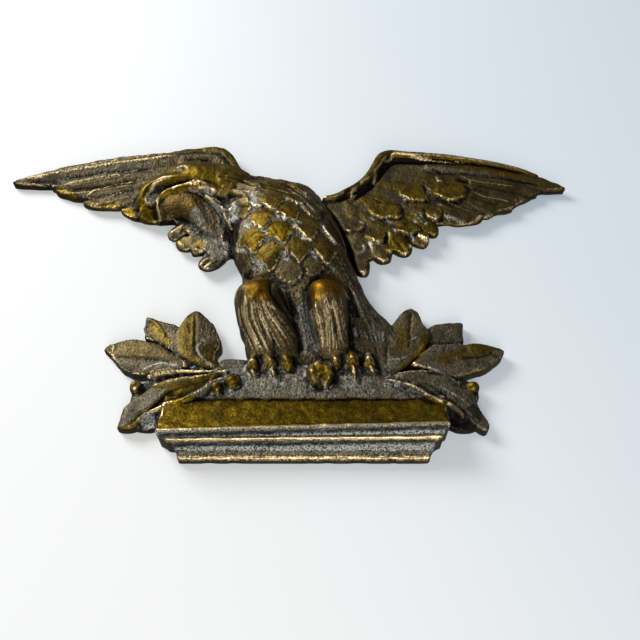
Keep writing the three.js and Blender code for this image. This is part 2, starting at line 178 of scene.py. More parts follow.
def mass(rows, along="z", power=2.0, paint=None):
    """Lays a rounded form given by sections: place, low side, high side, height, height at the sides, and
    where between the sides its crest lies"""
    span = (min(row[0] for row in rows), max(row[0] for row in rows))
    width = (min(row[1] for row in rows), max(row[2] for row in rows))
    win = window(*width, *span) if along == "z" else window(*span, *width)
    surface, inside = dome(rows, along, win, power)
    lay(win, surface, inside, paint=paint)


def half_width(width, start, belly, point, t):
    swell = start + (1 - start) * np.sin(np.pi / 2 * np.minimum(t / belly, 1))
    past = np.maximum(0, (t - belly) / (1 - belly))
    return 0.5 * width * swell * np.maximum(0.02, 1 - past ** 2) ** (1 / point)


def blade(root, tip, width, bow=0.0, start=0.6, belly=0.55, point=2.0, rise=(6, 6), crown=1.6, lift=0.0,
          power=1.7, lip=0.0, paint=None):
    """One feather, leaf or lock: a rounded ridge over a bowed middle line. rise gives its heights at root
    and tip, lift raises its middle, and lip its edge towards the tip."""
    root, tip = np.array(root, float), np.array(tip, float)
    run = tip - root
    length = np.hypot(*run)
    left = np.array([-run[1], run[0]]) / length
    ends = np.array([root, tip, (root + tip) / 2 + left * bow])
    (x0, z0), (x1, z1) = ends.min(0), ends.max(0)
    win = window(x0, x1, z0, z1, width / 2 + 3)
    px, pz = XW[win] - root[0], ZW[win] - root[1]

    def off_line(t):
        """Offset from the bowed line at t, and the line's way there"""
        side, turn = 4 * bow * t * (1 - t), 4 * bow * (1 - 2 * t)
        dx, dz = px - (run[0] * t + left[0] * side), pz - (run[1] * t + left[1] * side)
        return dx, dz, run[0] + left[0] * turn, run[1] + left[1] * turn

    t = np.clip((px * run[0] + pz * run[1]) / length ** 2, 0, 1)
    for _ in range(4):
        dx, dz, tx, tz = off_line(t)
        t = np.clip(t + (dx * tx + dz * tz) / (tx ** 2 + tz ** 2), 0, 1)
    dx, dz, tx, tz = off_line(t)
    w = half_width(width, start, belly, point, t)
    slope = (half_width(width, start, belly, point, np.minimum(t + 0.02, 1)) - w) / (0.02 * length)
    end = np.where(t < 1, (1 - t) * length, -(dx * tx + dz * tz) / np.hypot(tx, tz))
    inside = np.minimum((w - np.hypot(dx, dz)) / np.hypot(1, slope), end)
    across = np.clip(np.abs(tx * dz - tz * dx) / np.hypot(tx, tz) / np.maximum(w, 0.3), 0, 1.3)
    surface = rise[0] + (rise[1] - rise[0]) * t + 4 * lift * t * (1 - t) - crown * across ** power
    surface += lip * fall_off(np.maximum(inside, 0), 0.7) * smooth(2.5 * t - 0.6)
    lay(win, surface, inside, paint=paint)


def seen(points, level):
    """Carries points that were read on a view squared up at one height to where the relief shows them, or
    to where they lie at the second height given"""
    level, fixed = level if isinstance(level, tuple) else (level, None)
    out = []
    for x, z in points:
        h = level
        for _ in range(1 if fixed else 8):
            share = ((fixed or h) - level) / (CAMERA[1] - level)
            px, pz = x + (CAMERA[0] - x) * share, z + (CAMERA[2] - z) * share
            i, j = min(np.searchsorted(zs, pz), len(zs) - 1), min(np.searchsorted(xs, px), len(xs) - 1)
            h = 0.6 * h + 0.4 * (H[i, j] if IN[i, j] > 0 else SKIRT[i, j])
        out.append((px, pz))
    return out


def curve(points, step=0.7):
    """Smooth line through points"""
    p = np.array(points, float)
    if len(p) < 3:
        count = max(2, int(np.hypot(*(p[-1] - p[0])) / step))
        return p[0] + (p[-1] - p[0]) * np.linspace(0, 1, count)[:, None]
    q = np.vstack([2 * p[0] - p[1], p, 2 * p[-1] - p[-2]])
    out = []
    for a, b, c, d in zip(q[:-3], q[1:-2], q[2:-1], q[3:]):
        for t in np.linspace(0, 1, max(2, int(np.hypot(*(c - b)) / step)), endpoint=False):
            out.append(0.5 * (2 * b + (c - a) * t + (2 * a - 5 * b + 4 * c - d) * t ** 2
                              + (3 * b - a - 3 * c + d) * t ** 3))
    return np.array(out + [p[-1]])


def drawn(points, level=None):
    return curve(points if level is None else seen(points, level))


def near(line, reach):
    """Window round a line, with each point's distance to it, side of it and share of the way along it"""
    (x0, z0), (x1, z1) = line.min(0), line.max(0)
    win = window(x0, x1, z0, z1, reach)
    px, pz = X[win], Z[win]
    best, along, side = np.full(px.shape, 1e9), np.zeros(px.shape), np.zeros(px.shape)
    seg = np.diff(line, axis=0)
    long = np.hypot(seg[:, 0], seg[:, 1])
    at = np.concatenate([[0], np.cumsum(long)])
    for (x, z), (sx, sz), size, start in zip(line, seg, long, at):
        t = np.clip(((px - x) * sx + (pz - z) * sz) / max(size, 1e-9) ** 2, 0, 1)
        dx, dz = px - x - t * sx, pz - z - t * sz
        d = dx * dx + dz * dz
        closer = d < best
        best[closer] = d[closer]
        along[closer] = ((start + t * size) / at[-1])[closer]
        side[closer] = np.sign(sx * dz - sz * dx)[closer]
    return win, np.sqrt(best), side, along


def taper(t, ends):
    return smooth(t / ends[0]) * smooth((1 - t) / ends[1])


def stroke(points, depth, width, level=None, ends=(0.12, 0.12), **paint):
    """Adds a ridge, or a groove with a negative depth, along a line"""
    win, d, _, t = near(drawn(points, level), 3.2 * width)
    H[win] += depth * fall_off(d, width) * taper(t, ends)
    colour_in(win, fall_off(d, 1.1 * width) * taper(t, ends), paint)


def tint(points, width, level=None, ends=(0.1, 0.1), **paint):
    """Colours a band along a line"""
    win, d, _, t = near(drawn(points, level), 2.6 * width)
    colour_in(win, fall_off(d, width) * taper(t, ends), paint)


def region(points, level=None):
    """Window round a closed outline, with the distance inside it, and the outline"""
    p = list(points if level is None else seen(points, level))
    p = curve(p + p[:1])
    win, d, _, _ = near(p, 2.0)
    px, pz = X[win], Z[win]
    inner = np.zeros(px.shape, bool)
    for (ax, az), (bx, bz) in zip(p[:-1], p[1:]):
        on_side = (bx - ax) * (pz - az) / (bz - az + 1e-12) + ax
        inner ^= ((az > pz) != (bz > pz)) & (px < on_side)
    return win, np.where(inner, d, -d), p


def shade(points, depth=0.0, slope=(0, 0), soft=1.0, **paint):
    """Tilts, sinks or colours the inside of a closed outline, on the casting only"""
    win, inside, p = region(points)
    share = smooth(inside / soft + 0.5) * (IN[win] > 0.6)
    x, z = p.mean(0)
    H[win] += (depth + (X[win] - x) * slope[0] + (Z[win] - z) * slope[1]) * share
    colour_in(win, share, paint)


def plate(points, level, rise, on, way=(0, -1), lip=0.3, curl=1.2, soft=0.7, ragged=0.25, fade=0.0,
          crown=0.0, grow=None, paint=None, rim=None):
    """Scale or leaf of a drawn outline, laid over the surface on. It rises along its way to a turned-up edge.
    fade keeps the paint off its root, crown rounds it down to its edge, curl sinks its root's edge, and grow
    widens it as far as the casting's outline."""
    win, inside, p = region(points, level)
    inside = inside + ragged * RAGGED[win]
    if grow is not None:
        inside = np.minimum(inside + grow, IN[win] - 0.4)
    along = p @ np.array(way, float)
    t = np.clip((X[win] * way[0] + Z[win] * way[1] - along.min()) / (along.max() - along.min()), 0, 1)
    depth = np.maximum(inside, 0)
    edge = fall_off(depth, 0.8) * smooth(2.2 * t - 0.5)
    surface = on[win] + rise[0] + (rise[1] - rise[0]) * t ** 0.8 + lip * edge
    surface -= 0.4 * curl * fall_off(depth, 0.45) * (1 - smooth(2.2 * t - 0.3)) + crown * fall_off(depth, 1.8)
    lay(win, surface, inside, soft, None if fade else paint)
    share = smooth(inside / soft + 0.5)
    if fade:
        colour_in(win, share * smooth((t - 0.1) / fade), paint)
    colour_in(win, share * edge, rim)


def leaf(points, rise, way, paint, crown=0.5):
    """Leaf or lobe of a drawn outline, sloping from the height of its root to that of its tip"""
    plate(points, None, rise, np.zeros_like(X), way, lip=0.2, curl=0, soft=0.6, ragged=0.05, paint=paint,
          crown=crown)


def band(points, widths, heights, crown=2.0, level=None, power=1.8, lean=0.0, paint=None):
    """Rounded ridge of changing width and height along a line. lean moves its crest to the left."""
    p = np.array(points, float)
    widths, heights = (np.interp(np.linspace(0, 1, len(p)), np.linspace(0, 1, len(values)), values)
                       for values in (widths, heights))
    if level is not None:
        share = (heights - level) / (CAMERA[1] - level)
        p = p + (np.array([CAMERA[0], CAMERA[2]]) - p) * share[:, None]
    knots = np.concatenate([[0], np.cumsum(np.hypot(*np.diff(p, axis=0).T))])
    win, d, side, t = near(curve(p), widths.max() / 2 + 1.5)
    w = np.interp(t, knots / knots[-1], widths) / 2
    c = side * d / w
    u = np.where(c > lean, (c - lean) / (1 - lean), (lean - c) / (1 + lean))
    u = np.where((t <= 0) | (t >= 1), np.maximum(u, d / w), u)
    surface = np.interp(t, knots / knots[-1], heights) - crown * np.clip(u, 0, 1.3) ** power
    lay(win, surface, w - d, paint=paint)


def strands(guides, count, depth, width, level, seed, ends=(0.2, 0.1), **paint):
    """Combed lines that follow guides lying side by side, ridges and grooves in turn"""
    random = np.random.default_rng(seed)
    guides = np.array(guides, float)
    for k in range(count):
        at = (k + random.uniform(0.2, 0.8)) / count * (len(guides) - 1)
        low = min(int(at), len(guides) - 2)
        cut = random.uniform(0, 0.3)
        line = curve(guides[low] + (guides[low + 1] - guides[low]) * (at - low), 2.0)
        line = line[int(cut * 0.5 * len(line)):len(line) - int((0.3 - cut) * 0.4 * len(line))]
        if len(line) < 4:
            continue
        line = line + np.cumsum(random.normal(0, 0.07, line.shape), 0)
        amount = random.uniform(0.6, 1.3)
        # Every other line is a groove with painted shade in it.
        mark = {"dark": 0.7 * amount} if k % 2 else {name: value * amount for name, value in paint.items()}
        stroke(line[::2], (-1) ** k * depth * amount, width * random.uniform(0.8, 1.2), level, ends, **mark)


# Leaf sprays

BACKING = dict(start=0.6, belly=0.55, crown=0.6, paint=dict(grey=0.8, rough=0.9))

for form in (
    dict(BACKING, root=(-42, -87), tip=(-64, -79), width=24, rise=(5, 4.5)),
    dict(BACKING, root=(-46, -92), tip=(-78, -101), width=20, rise=(6, 4.5)),
    # The low backings beside the shelf are painted dark as shade.
    dict(BACKING, root=(-56, -104), tip=(-79, -110.5), width=13, start=0.9, rise=(4, 3.4),
     paint=dict(dark=0.55, rough=0.9, grey=0.8)),
    dict(BACKING, root=(40, -84), tip=(62, -80), width=28, rise=(5, 4.5)),
    dict(BACKING, root=(46, -92), tip=(78, -98), width=20, rise=(6, 4.5)),
    dict(BACKING, root=(56, -104), tip=(78, -110), width=14, start=0.9, rise=(4, 3.4),
     paint=dict(dark=0.9, rough=0.8, grey=0.5)),
):
    blade(**form)
DARK_LEAF = dict(grey=0.6, rough=0.5, gold=0.15)
for outline, rise, way, paint in (
    ([(57.9, -61.8), (60.5, -59.9), (63.4, -58.8), (72.2, -57.9), (75, -57.9), (75.6, -59.1), (74.9, -63.7),
     (74, -71.1), (67.7, -73.5), (60.9, -75.3), (55.3, -75.3)], (5.2, 4.4), (0.84, 0.54), DARK_LEAF),
    ([(-76.7, -54.6), (-74.1, -55.3), (-70, -57.1), (-66, -58.4), (-60.9, -60.4), (-57.8, -66.3),
     (-56.3, -74.9), (-56.8, -79.3), (-61.8, -75.9), (-68.1, -71.2), (-73.2, -68.7), (-76, -67.4),
     (-76.2, -64.5), (-77.3, -62.2), (-77.1, -59.8), (-77.2, -55.6)], (6.5, 4.4), (-0.63, 0.78), DARK_LEAF),
    ([(-94.4, -73.7), (-93.2, -71.3), (-90.5, -69.9), (-83.6, -68), (-79.7, -68.1), (-75.7, -69),
     (-72.2, -70.3), (-68.7, -71.1), (-65.6, -73), (-62.4, -76), (-55.8, -80.8), (-53.6, -84), (-57.6, -85.4),
     (-62.1, -86.4), (-73.9, -88.2), (-77.7, -87.9), (-81.2, -86.1), (-84.6, -84.1), (-90.8, -77)], (9, 4.4),
     (-0.98, 0.2), dict(grey=0.35, gold=0.3, rough=0.7)),
    ([(-74.8, -86.3), (-71.6, -84.1), (-68.5, -82.9), (-64.9, -82.5), (-60.5, -83.9), (-54.8, -85.8),
     (-63.6, -85.7), (-72.1, -87.2)], (8.8, 7), (-1, 0), dict(grey=0.6, rough=0.2, dark=0.15)),
    ([(-53, -51.9), (-55.8, -53.4), (-58.3, -57.2), (-60.4, -62.2), (-60.2, -66.9), (-59.5, -72.7),
     (-58.3, -76.6), (-55.6, -80), (-50.7, -82.3), (-43.2, -85), (-36.7, -86.1), (-39.2, -82.9),
     (-40.9, -80.1), (-40.8, -75.7), (-39.3, -73.4), (-39.4, -70.5), (-41.8, -64.7), (-43.6, -60.6),
     (-48.3, -55.4), (-51, -52.7)], (8, 6), (-0.24, 0.97), dict(gold=0.6, grey=0.1, rough=0.3, dark=0.2)),
    ([(93.1, -74.1), (91.5, -73), (85.6, -71.1), (81.9, -70.5), (78, -70.6), (75.1, -71.4), (72.3, -71.1),
     (62.7, -71.9), (58.9, -72.8), (55.3, -75.8), (50.8, -80.8), (48.7, -83.5), (54.5, -85.5), (61.3, -87.2),
     (66.6, -89), (71.2, -88.7), (78.9, -86.1), (81.8, -85.4), (84.9, -83.6), (90.7, -78.9), (92.4, -76.6)],
     (9, 5), (0.98, 0.18), DARK_LEAF),
    ([(51, -50.6), (48.5, -51.5), (45.4, -54.3), (41.7, -59.7), (39.1, -62.4), (37, -66.5), (36.7, -72.8),
     (36.2, -76.7), (36.3, -80), (35.1, -84.4), (35, -87.6), (38.5, -88.9), (41.8, -87.3), (45.6, -85),
     (48.5, -82.1), (53, -78.2), (55.6, -74.8), (58.5, -67.9), (58.7, -64.5), (57.7, -61.8), (56, -59.2),
     (54.6, -53.5), (52.8, -51.4)], (8, 6), (0.33, 0.94), dict(gold=0.4, grey=0.45, rough=0.3)),
):
    leaf(outline, rise, way, paint)

# Left wing

left_wing = [
    [-163, 34.6, 35.8, 4.5, 4], [-160, 33.7, 38.3, 5, RIM], [-150, 33.1, 41, 5, RIM],
    [-139, 33, 44.2, 5, RIM], [-135, 30, 45.2, 5, RIM], [-125, 25.5, 47.6, 5.5, RIM],
    [-112, 18, 50.8, 6, RIM], [-99, 16.5, 53.5, 6.5, 4], [-90, 11, 55.8, 7, 4.5], [-76, 7.8, 58.8, 8, 5],
    [-66, 1, 60, 8, 6], [-58, -8, 60.8, 8, 6.5], [-52, -17, 61.2, 8, 7], [-47, -21, 60, 8, 7],
    [-42.5, -20, 54.5, 8, 7], [-38, -18, 46, 8, 7], [-33, -17, 38, 8, 7],
]
mass(left_wing, "x", paint=dict(grey=0.3, rough=0.8, gold=0.2))
FEATHER = dict(power=1.5, crown=1.0, point=1.5)
for form in (
    dict(FEATHER, root=(-62, 15), tip=(-100.5, 15.5), width=13, bow=2.2, rise=(8.5, 4.4), point=1.6,
     paint=dict(gold=0.7, grey=0.0, rough=0.1)),
    dict(FEATHER, root=(-84, 26), tip=(-122, 20.8), width=9.5, bow=2.6, rise=(8, 4.2),
     paint=dict(grey=0.35, rough=0.7)),
    dict(FEATHER, root=(-84, 33), tip=(-139, 30), width=9.5, bow=4, rise=(8.5, 4.2),
     paint=dict(grey=0.35, rough=0.7)),
    dict(FEATHER, root=(-84, 40), tip=(-141.5, 32), width=8, bow=0.6, rise=(7.4, 5), lift=1.4, point=2,
     paint=dict(grey=0.35, rough=0.8)),
    dict(FEATHER, root=(-45, 52.5), tip=(-163, 35.3), width=12, bow=-3, start=0.4, belly=0.22, rise=(8, 5),
     lift=2.2, crown=1.6, point=2, paint=dict(grey=0.3, rough=0.9)),
):
    blade(**form)
LOBE = dict(crown=1.5, point=2.4, power=1.8, paint=dict(gold=0.5, grey=0.3, rough=0.2))
blade((-46, -2), (-59.5, -15), 10, bow=1, rise=(8, 7), **LOBE)
blade((-41, -8), (-53.5, -25.5), 11, bow=1, rise=(7, 6.6), **LOBE)

for outline in (
    [(-68.2, -7.4), (-67.7, -10.1), (-65.9, -12.4), (-62.8, -13.6), (-59.2, -13.7), (-56.6, -11.8),
     (-56.5, -7.7), (-59.1, -4.7), (-62.8, -4.7), (-66.2, -6.1)],
    [(-73.3, -1.9), (-72.1, -4.7), (-69.9, -6.2), (-67.8, -6.4), (-65.4, -4.7), (-59.7, 0.8), (-59, 4.3),
     (-61.7, 5.5), (-64.9, 5.1), (-70.8, 1.5)],
):
    leaf(outline, (8, 5), (-0.8, -0.6), LOBE["paint"], crown=1.0)

# Right wing

right_wing = [
    [8, -10, 21.5, 6, 5], [14, -20, 24, 6, 5], [21, -24, 27.2, 6, 5], [28, -22, 33, 6, 5],
    [34, -17, 42, 6, 5], [38, -15, 50.5, 6, 5], [41, -13.5, 57.8, 6, 5], [45, -13, 59, 6, 5],
    [54, -9, 58.6, 6, 5], [62, -3, 57.8, 6, 4.5], [67, 6, 57, 6, 4.5], [76, 7, 55.8, 5.5, 4.5],
    [88, 9, 53.8, 5.5, 4], [100, 13.4, 51, 5.5, 4], [108, 16, 48.6, 5.5, 4], [120, 23.5, 44, 5, RIM],
    [128, 29.5, 39, 5, RIM], [134, 30, 35.6, 4.5, RIM], [140, 30.2, 32.6, 4.5, RIM],
]
mass(right_wing, "x", paint=dict(grey=0.3, rough=0.4, gold=0.25))
QUILL = dict(FEATHER, lip=0.5, paint=dict(grey=0.15, gold=0.35, rough=0.25))
for form in (
    dict(QUILL, root=(62, 17), tip=(94, 10.5), width=11, bow=-1.6, rise=(6.6, 5.4)),
    dict(QUILL, root=(74, 27), tip=(111, 16.5), width=12, bow=0.6, rise=(7, 5.4)),
    dict(QUILL, root=(74, 36), tip=(126.5, 27), width=11, bow=1.6, rise=(7.4, 5.4)),
    dict(QUILL, root=(70, 45), tip=(141.5, 30.6), width=9, bow=3, start=0.9, belly=0.5, rise=(7, 5.2),
     point=1.8),
):
    blade(**form)
COVERT = dict(bow=1, rise=(6.2, 5.4), crown=0.9, lift=0.6, point=2.4, power=2.2)
for root, tip, width, golden in (
    ((24, -13), (28.5, -28), 9, 0.0), ((33, -6), (41, -19.5), 11, 0.25), ((40, 0), (52.5, -14.5), 11.5, 0.9),
    ((47, 4), (62.5, -8), 10, 0.4), ((53, 8), (68.5, -1), 9.5, 0.9), ((24, 0), (27, -15), 10, 0.1),
    ((30, 9), (40, -5), 11.5, 0.4), ((42, 13), (56.5, 0.5), 11.5, 0.7), ((22, 17), (26, -1), 11, 0.3),
    ((55, 17), (70.5, 13.5), 9, 0.6), ((28, 22), (50.5, 11.5), 15, 0.6), ((63, 31), (88.5, 27.5), 13, 0.7),
    ((42, 32), (65.5, 24.5), 12.5, 0.7), ((60, 37), (76, 33), 10, 0.4),
):
    blade(root, tip, width, **COVERT, paint=dict(gold=0.3 + 0.6 * golden, grey=0.3 * (1 - golden), rough=0.3))
FIELD = np.full_like(X, 6.4)
# outline, how golden, rise at the tip; the lowest lies under the others
COVERT_PLATES = (
    ([(22.6, -22.8), (24.2, -17), (27.4, -15), (30.4, -14.3), (32.4, -16.3), (31.8, -20.2), (30.1, -24.8),
     (29.2, -28.6), (27.4, -30.2), (25.4, -29.5), (23.5, -27.3)], 0.1, 1.4),
    ([(32.9, -18.3), (33, -13.7), (35.7, -12.3), (38.7, -13), (40.6, -16.3), (41.7, -20.2), (40.2, -23.5),
     (38.2, -24.4), (35.2, -23.2), (33, -20.9)], 0.3, 1.4),
    ([(52.8, -10.3), (55, -7.6), (58.1, -7.3), (61.2, -8), (62.8, -10), (61.4, -12), (58.7, -13),
     (55.2, -12.3), (53.2, -12)], 0.45, 1.4),
    ([(40.3, -11.7), (41.5, -8.3), (44.2, -6.3), (46.9, -5.6), (49.3, -7.6), (51.2, -11), (51.9, -15),
     (52, -17.6), (49.7, -18), (43.2, -15.6), (41.2, -14.3)], 0.9, 1.8),
    ([(29.7, -4.8), (30.9, -2.1), (34.1, -0), (37.2, 1), (40.3, -0), (41.8, -2.8), (40, -6.2), (38.9, -8.9),
     (36.7, -9.9), (34.2, -8.2)], 0.75, 2.6),
    ([(57, -1.5), (59.3, 1.3), (62.5, 2), (65.6, 1.3), (67.5, -1.5), (68, -4.2), (66.5, -6.3), (63.8, -7.3),
     (61.8, -6.6), (58.9, -4.6)], 0.9, 1.6),
    ([(20.4, -1.9), (22.1, 1.5), (24.8, 4.3), (27.9, 3.6), (29.9, 0.8), (27.8, -1.2), (24.6, -1.2),
     (22, -3.3)], 0.35, 2.2),
    ([(45.5, -0.7), (49.5, 4.8), (53.3, 5.5), (55.7, 3.4), (58.2, 0.7), (58.5, -1.4), (54.7, -3.1),
     (50.6, -3.1)], 0.85, 2.4),
    ([(28.8, 16.7), (31.6, 18.2), (35.9, 18.9), (41.2, 16.7), (45.4, 16.7), (49.6, 15.3), (50.5, 12.4),
     (50.2, 8.1), (47, 6.7), (42.8, 7.4), (39.1, 6.7), (35.5, 8.8), (33.5, 11.7)], 0.85, 2.8),
    ([(55.2, 10.9), (56.5, 14.5), (60.4, 16.7), (64.7, 16.7), (68.8, 14.5), (71.3, 12.4), (69.3, 8.8),
     (66, 7), (63.6, 9.5), (62.6, 10.9), (60.4, 9.2), (57.2, 9.5)], 0.8, 2.4),
    ([(65.9, 30.8), (69.4, 33.1), (73.9, 33.8), (79.3, 33.5), (83.5, 31.6), (86.3, 27.8), (87.1, 24.8),
     (85.2, 22.6), (81.2, 20.4), (76.8, 20), (73.7, 21.1), (70.7, 23.7), (66.6, 26.3)], 0.9, 2.6),
    ([(50.3, 26.3), (51.7, 30.8), (53, 33.8), (57.4, 33.8), (61.7, 32.3), (64.1, 28.9), (63.4, 26.3),
     (64.2, 23.3), (64.8, 20.4), (61.7, 18.9), (56.3, 19.3), (53.3, 21.5), (50.7, 23.7)], 0.85, 2.8),
)
for outline, golden, tip_rise in COVERT_PLATES:
    plate(outline, None, (-1.2, 0.65 * tip_rise), FIELD, way=(0.35, -0.94), lip=0.3, ragged=0.2, soft=1.0,
        fade=0.35, grow=0.3, paint=dict(gold=min(1.25 * golden, 1), grey=0.3 * (1 - golden), rough=0.2),
        rim=dict(worn=0.6 + 0.35 * golden))
band([(10, 23.2), (16, 25), (25.6, 31.2), (31.6, 37), (35.6, 43), (39, 49.6), (42.4, 56), (47, 58.2),
    (56, 57.6), (70, 56.5), (80, 55.2), (92, 52.8), (104, 49.8), (118, 45), (127.5, 39.6)], [3.4, 3.8, 4.4,
    4.8, 5, 5.8, 6.4, 5, 4, 3.4, 3.2, 3, 3, 2.8, 2.4], [8, 8.6, 9, 9.4, 9.8, 10.2, 10.4, 10, 9.6, 9, 8.4, 7.6,
    7, 6.4, 5.8], crown=1.8, level=AT_RIGHT, lean=-0.25, power=2.4, paint=dict(gold=0.6, grey=0, rough=0.1))

# Mound and bracket

mass([[-79.5, -38.5, 38, 6.5, 5], [-84, -42, 42, 9, 5], [-92, -46, 46, 11, 7], [-102.3, -53, 53, 10.4, 9]],
    paint=dict(grey=1.0, rough=1.0))

SHELF_WIDTH = 124.5
TILT = 3.5  # the front edge of the shelf rises to the right
bracket_rows = [
    [-99.3, 8.4, 0, 0], [-100, 8.6, 0, 0], [-101.9, 9.36, 0, 0], [-117.6, 15.6, 0, TILT],
    [-118.4, 16, 0, TILT], [-119.2, 15.4, 0.3, TILT], [-119.8, 13, 1.6, TILT], [-121.4, 12.2, 3, TILT / 2],
    [-122, 12.8, 3.2, TILT / 3], [-122.7, 11.8, 4.4, TILT / 3], [-123.4, 9, 6.5, 0], [-125.2, 6.6, 7.6, 0],
    [-127, 4.6, 8.2, 0], [-127.8, 4.4, 8.4, 0], [-128.5, 3.5, 9.2, 0],
]
BRACKET_EDGES = (-101.9, -118, -118.4, -121.4, -122.7, -125.2, -127, -129)
BRACKET_PAINT = (
    dict(grey=1, rough=1), dict(gold=0.95, rough=0.1), dict(gold=0.6, worn=0.7),
    dict(grey=1, rough=1, pale=0.95), dict(gold=0.4, grey=0.2, rough=0.1, worn=0.75),
    dict(grey=1, rough=1, pale=0.75), dict(gold=0.45, grey=0.5, rough=0.5, pale=0.1, worn=0.3),
    dict(gold=0.5, grey=0.3, rough=0.1, worn=0.6),
)
win = window(-64, 64, -128.5, -99.3, 3)
x, z = (X[win] + 0.4 * WARP_X[win], Z[win] + 0.7 * WARP_Z[win])
surface, inset, row_kind = (np.full(x.shape, 3.5), np.full(x.shape, 9.2), np.zeros(x.shape, int))
for (z0, h0, i0, t0), (z1, h1, i1, t1) in zip(bracket_rows[:-1], bracket_rows[1:]):
    upper, lower = (z0 + t0 * x / SHELF_WIDTH, z1 + t1 * x / SHELF_WIDTH)
    share = np.clip((upper - z) / (upper - lower), 0, 1)
    here = (z <= upper) & (z > lower)
    surface[here] = (h0 + (h1 - h0) * share)[here]
    inset[here] = (i0 + (i1 - i0) * share)[here]
    row_kind[here] = next((k for k, edge in enumerate(BRACKET_EDGES) if z1 >= edge))
here = z > bracket_rows[0][0]
surface[here], inset[here] = (8.4, 0)
inside = np.minimum(SHELF_WIDTH / 2 - inset - np.abs(x), np.minimum(z + 128.5, -99.3 - z))
for kind, paint in enumerate(BRACKET_PAINT):
    for name in PAINT:
        PAINT[name][win][(row_kind == kind) & (inside > -0.4)] = paint.get(name, 0)
lay(win, surface, inside, 0.7)

# Body

breast = [
    [37, -46, -30, 8.5, 7.5], [33, -46, -17, 10, 7.5], [29, -46, -4, 12, 8], [26, -45, 2, 15, 8],
    [20, -44, 6.5, 20, 7], [8, -41, 12.6, 23, 6, 0.48], [-6, -39, 18.2, 24, 6, 0.48],
    [-20, -36.5, 21.6, 24, 6], [-31, -32.5, 25, 21, 6], [-42, -30, 29, 16, 5], [-60, -28, 36, 12, 5, 0.45],
    [-84, -24, 36, 10, 5],
]
mass([[-26, 14, 24.5, 12, 6, 0.4], [-34, 15, 25.5, 12, 6, 0.4], [-44, 18, 29.5, 11, 5, 0.4],
    [-54, 20, 35, 10, 4.5, 0.35], [-62, 22, 43, 9, 4.5, 0.3], [-72, 24, 44, 8, 4.5, 0.3],
    [-84, 26, 42, 7, 4.5, 0.3]], paint=dict(grey=0.5, rough=0.4, gold=0.2))
mass(breast, power=2.3, paint=dict(grey=0.4, rough=0.8, gold=0.5))
win = window(-50, 40, -84, 37)
across, up = X[win], Z[win]
PAINT["pale"][win] += 0.1 * smooth((10 - across) / 22) * smooth((up + 46) / 20) * smooth((22 - up) / 8)
breast_top = np.zeros_like(X)
breast_top[win] = dome(breast, "z", win, 2.3)[0]
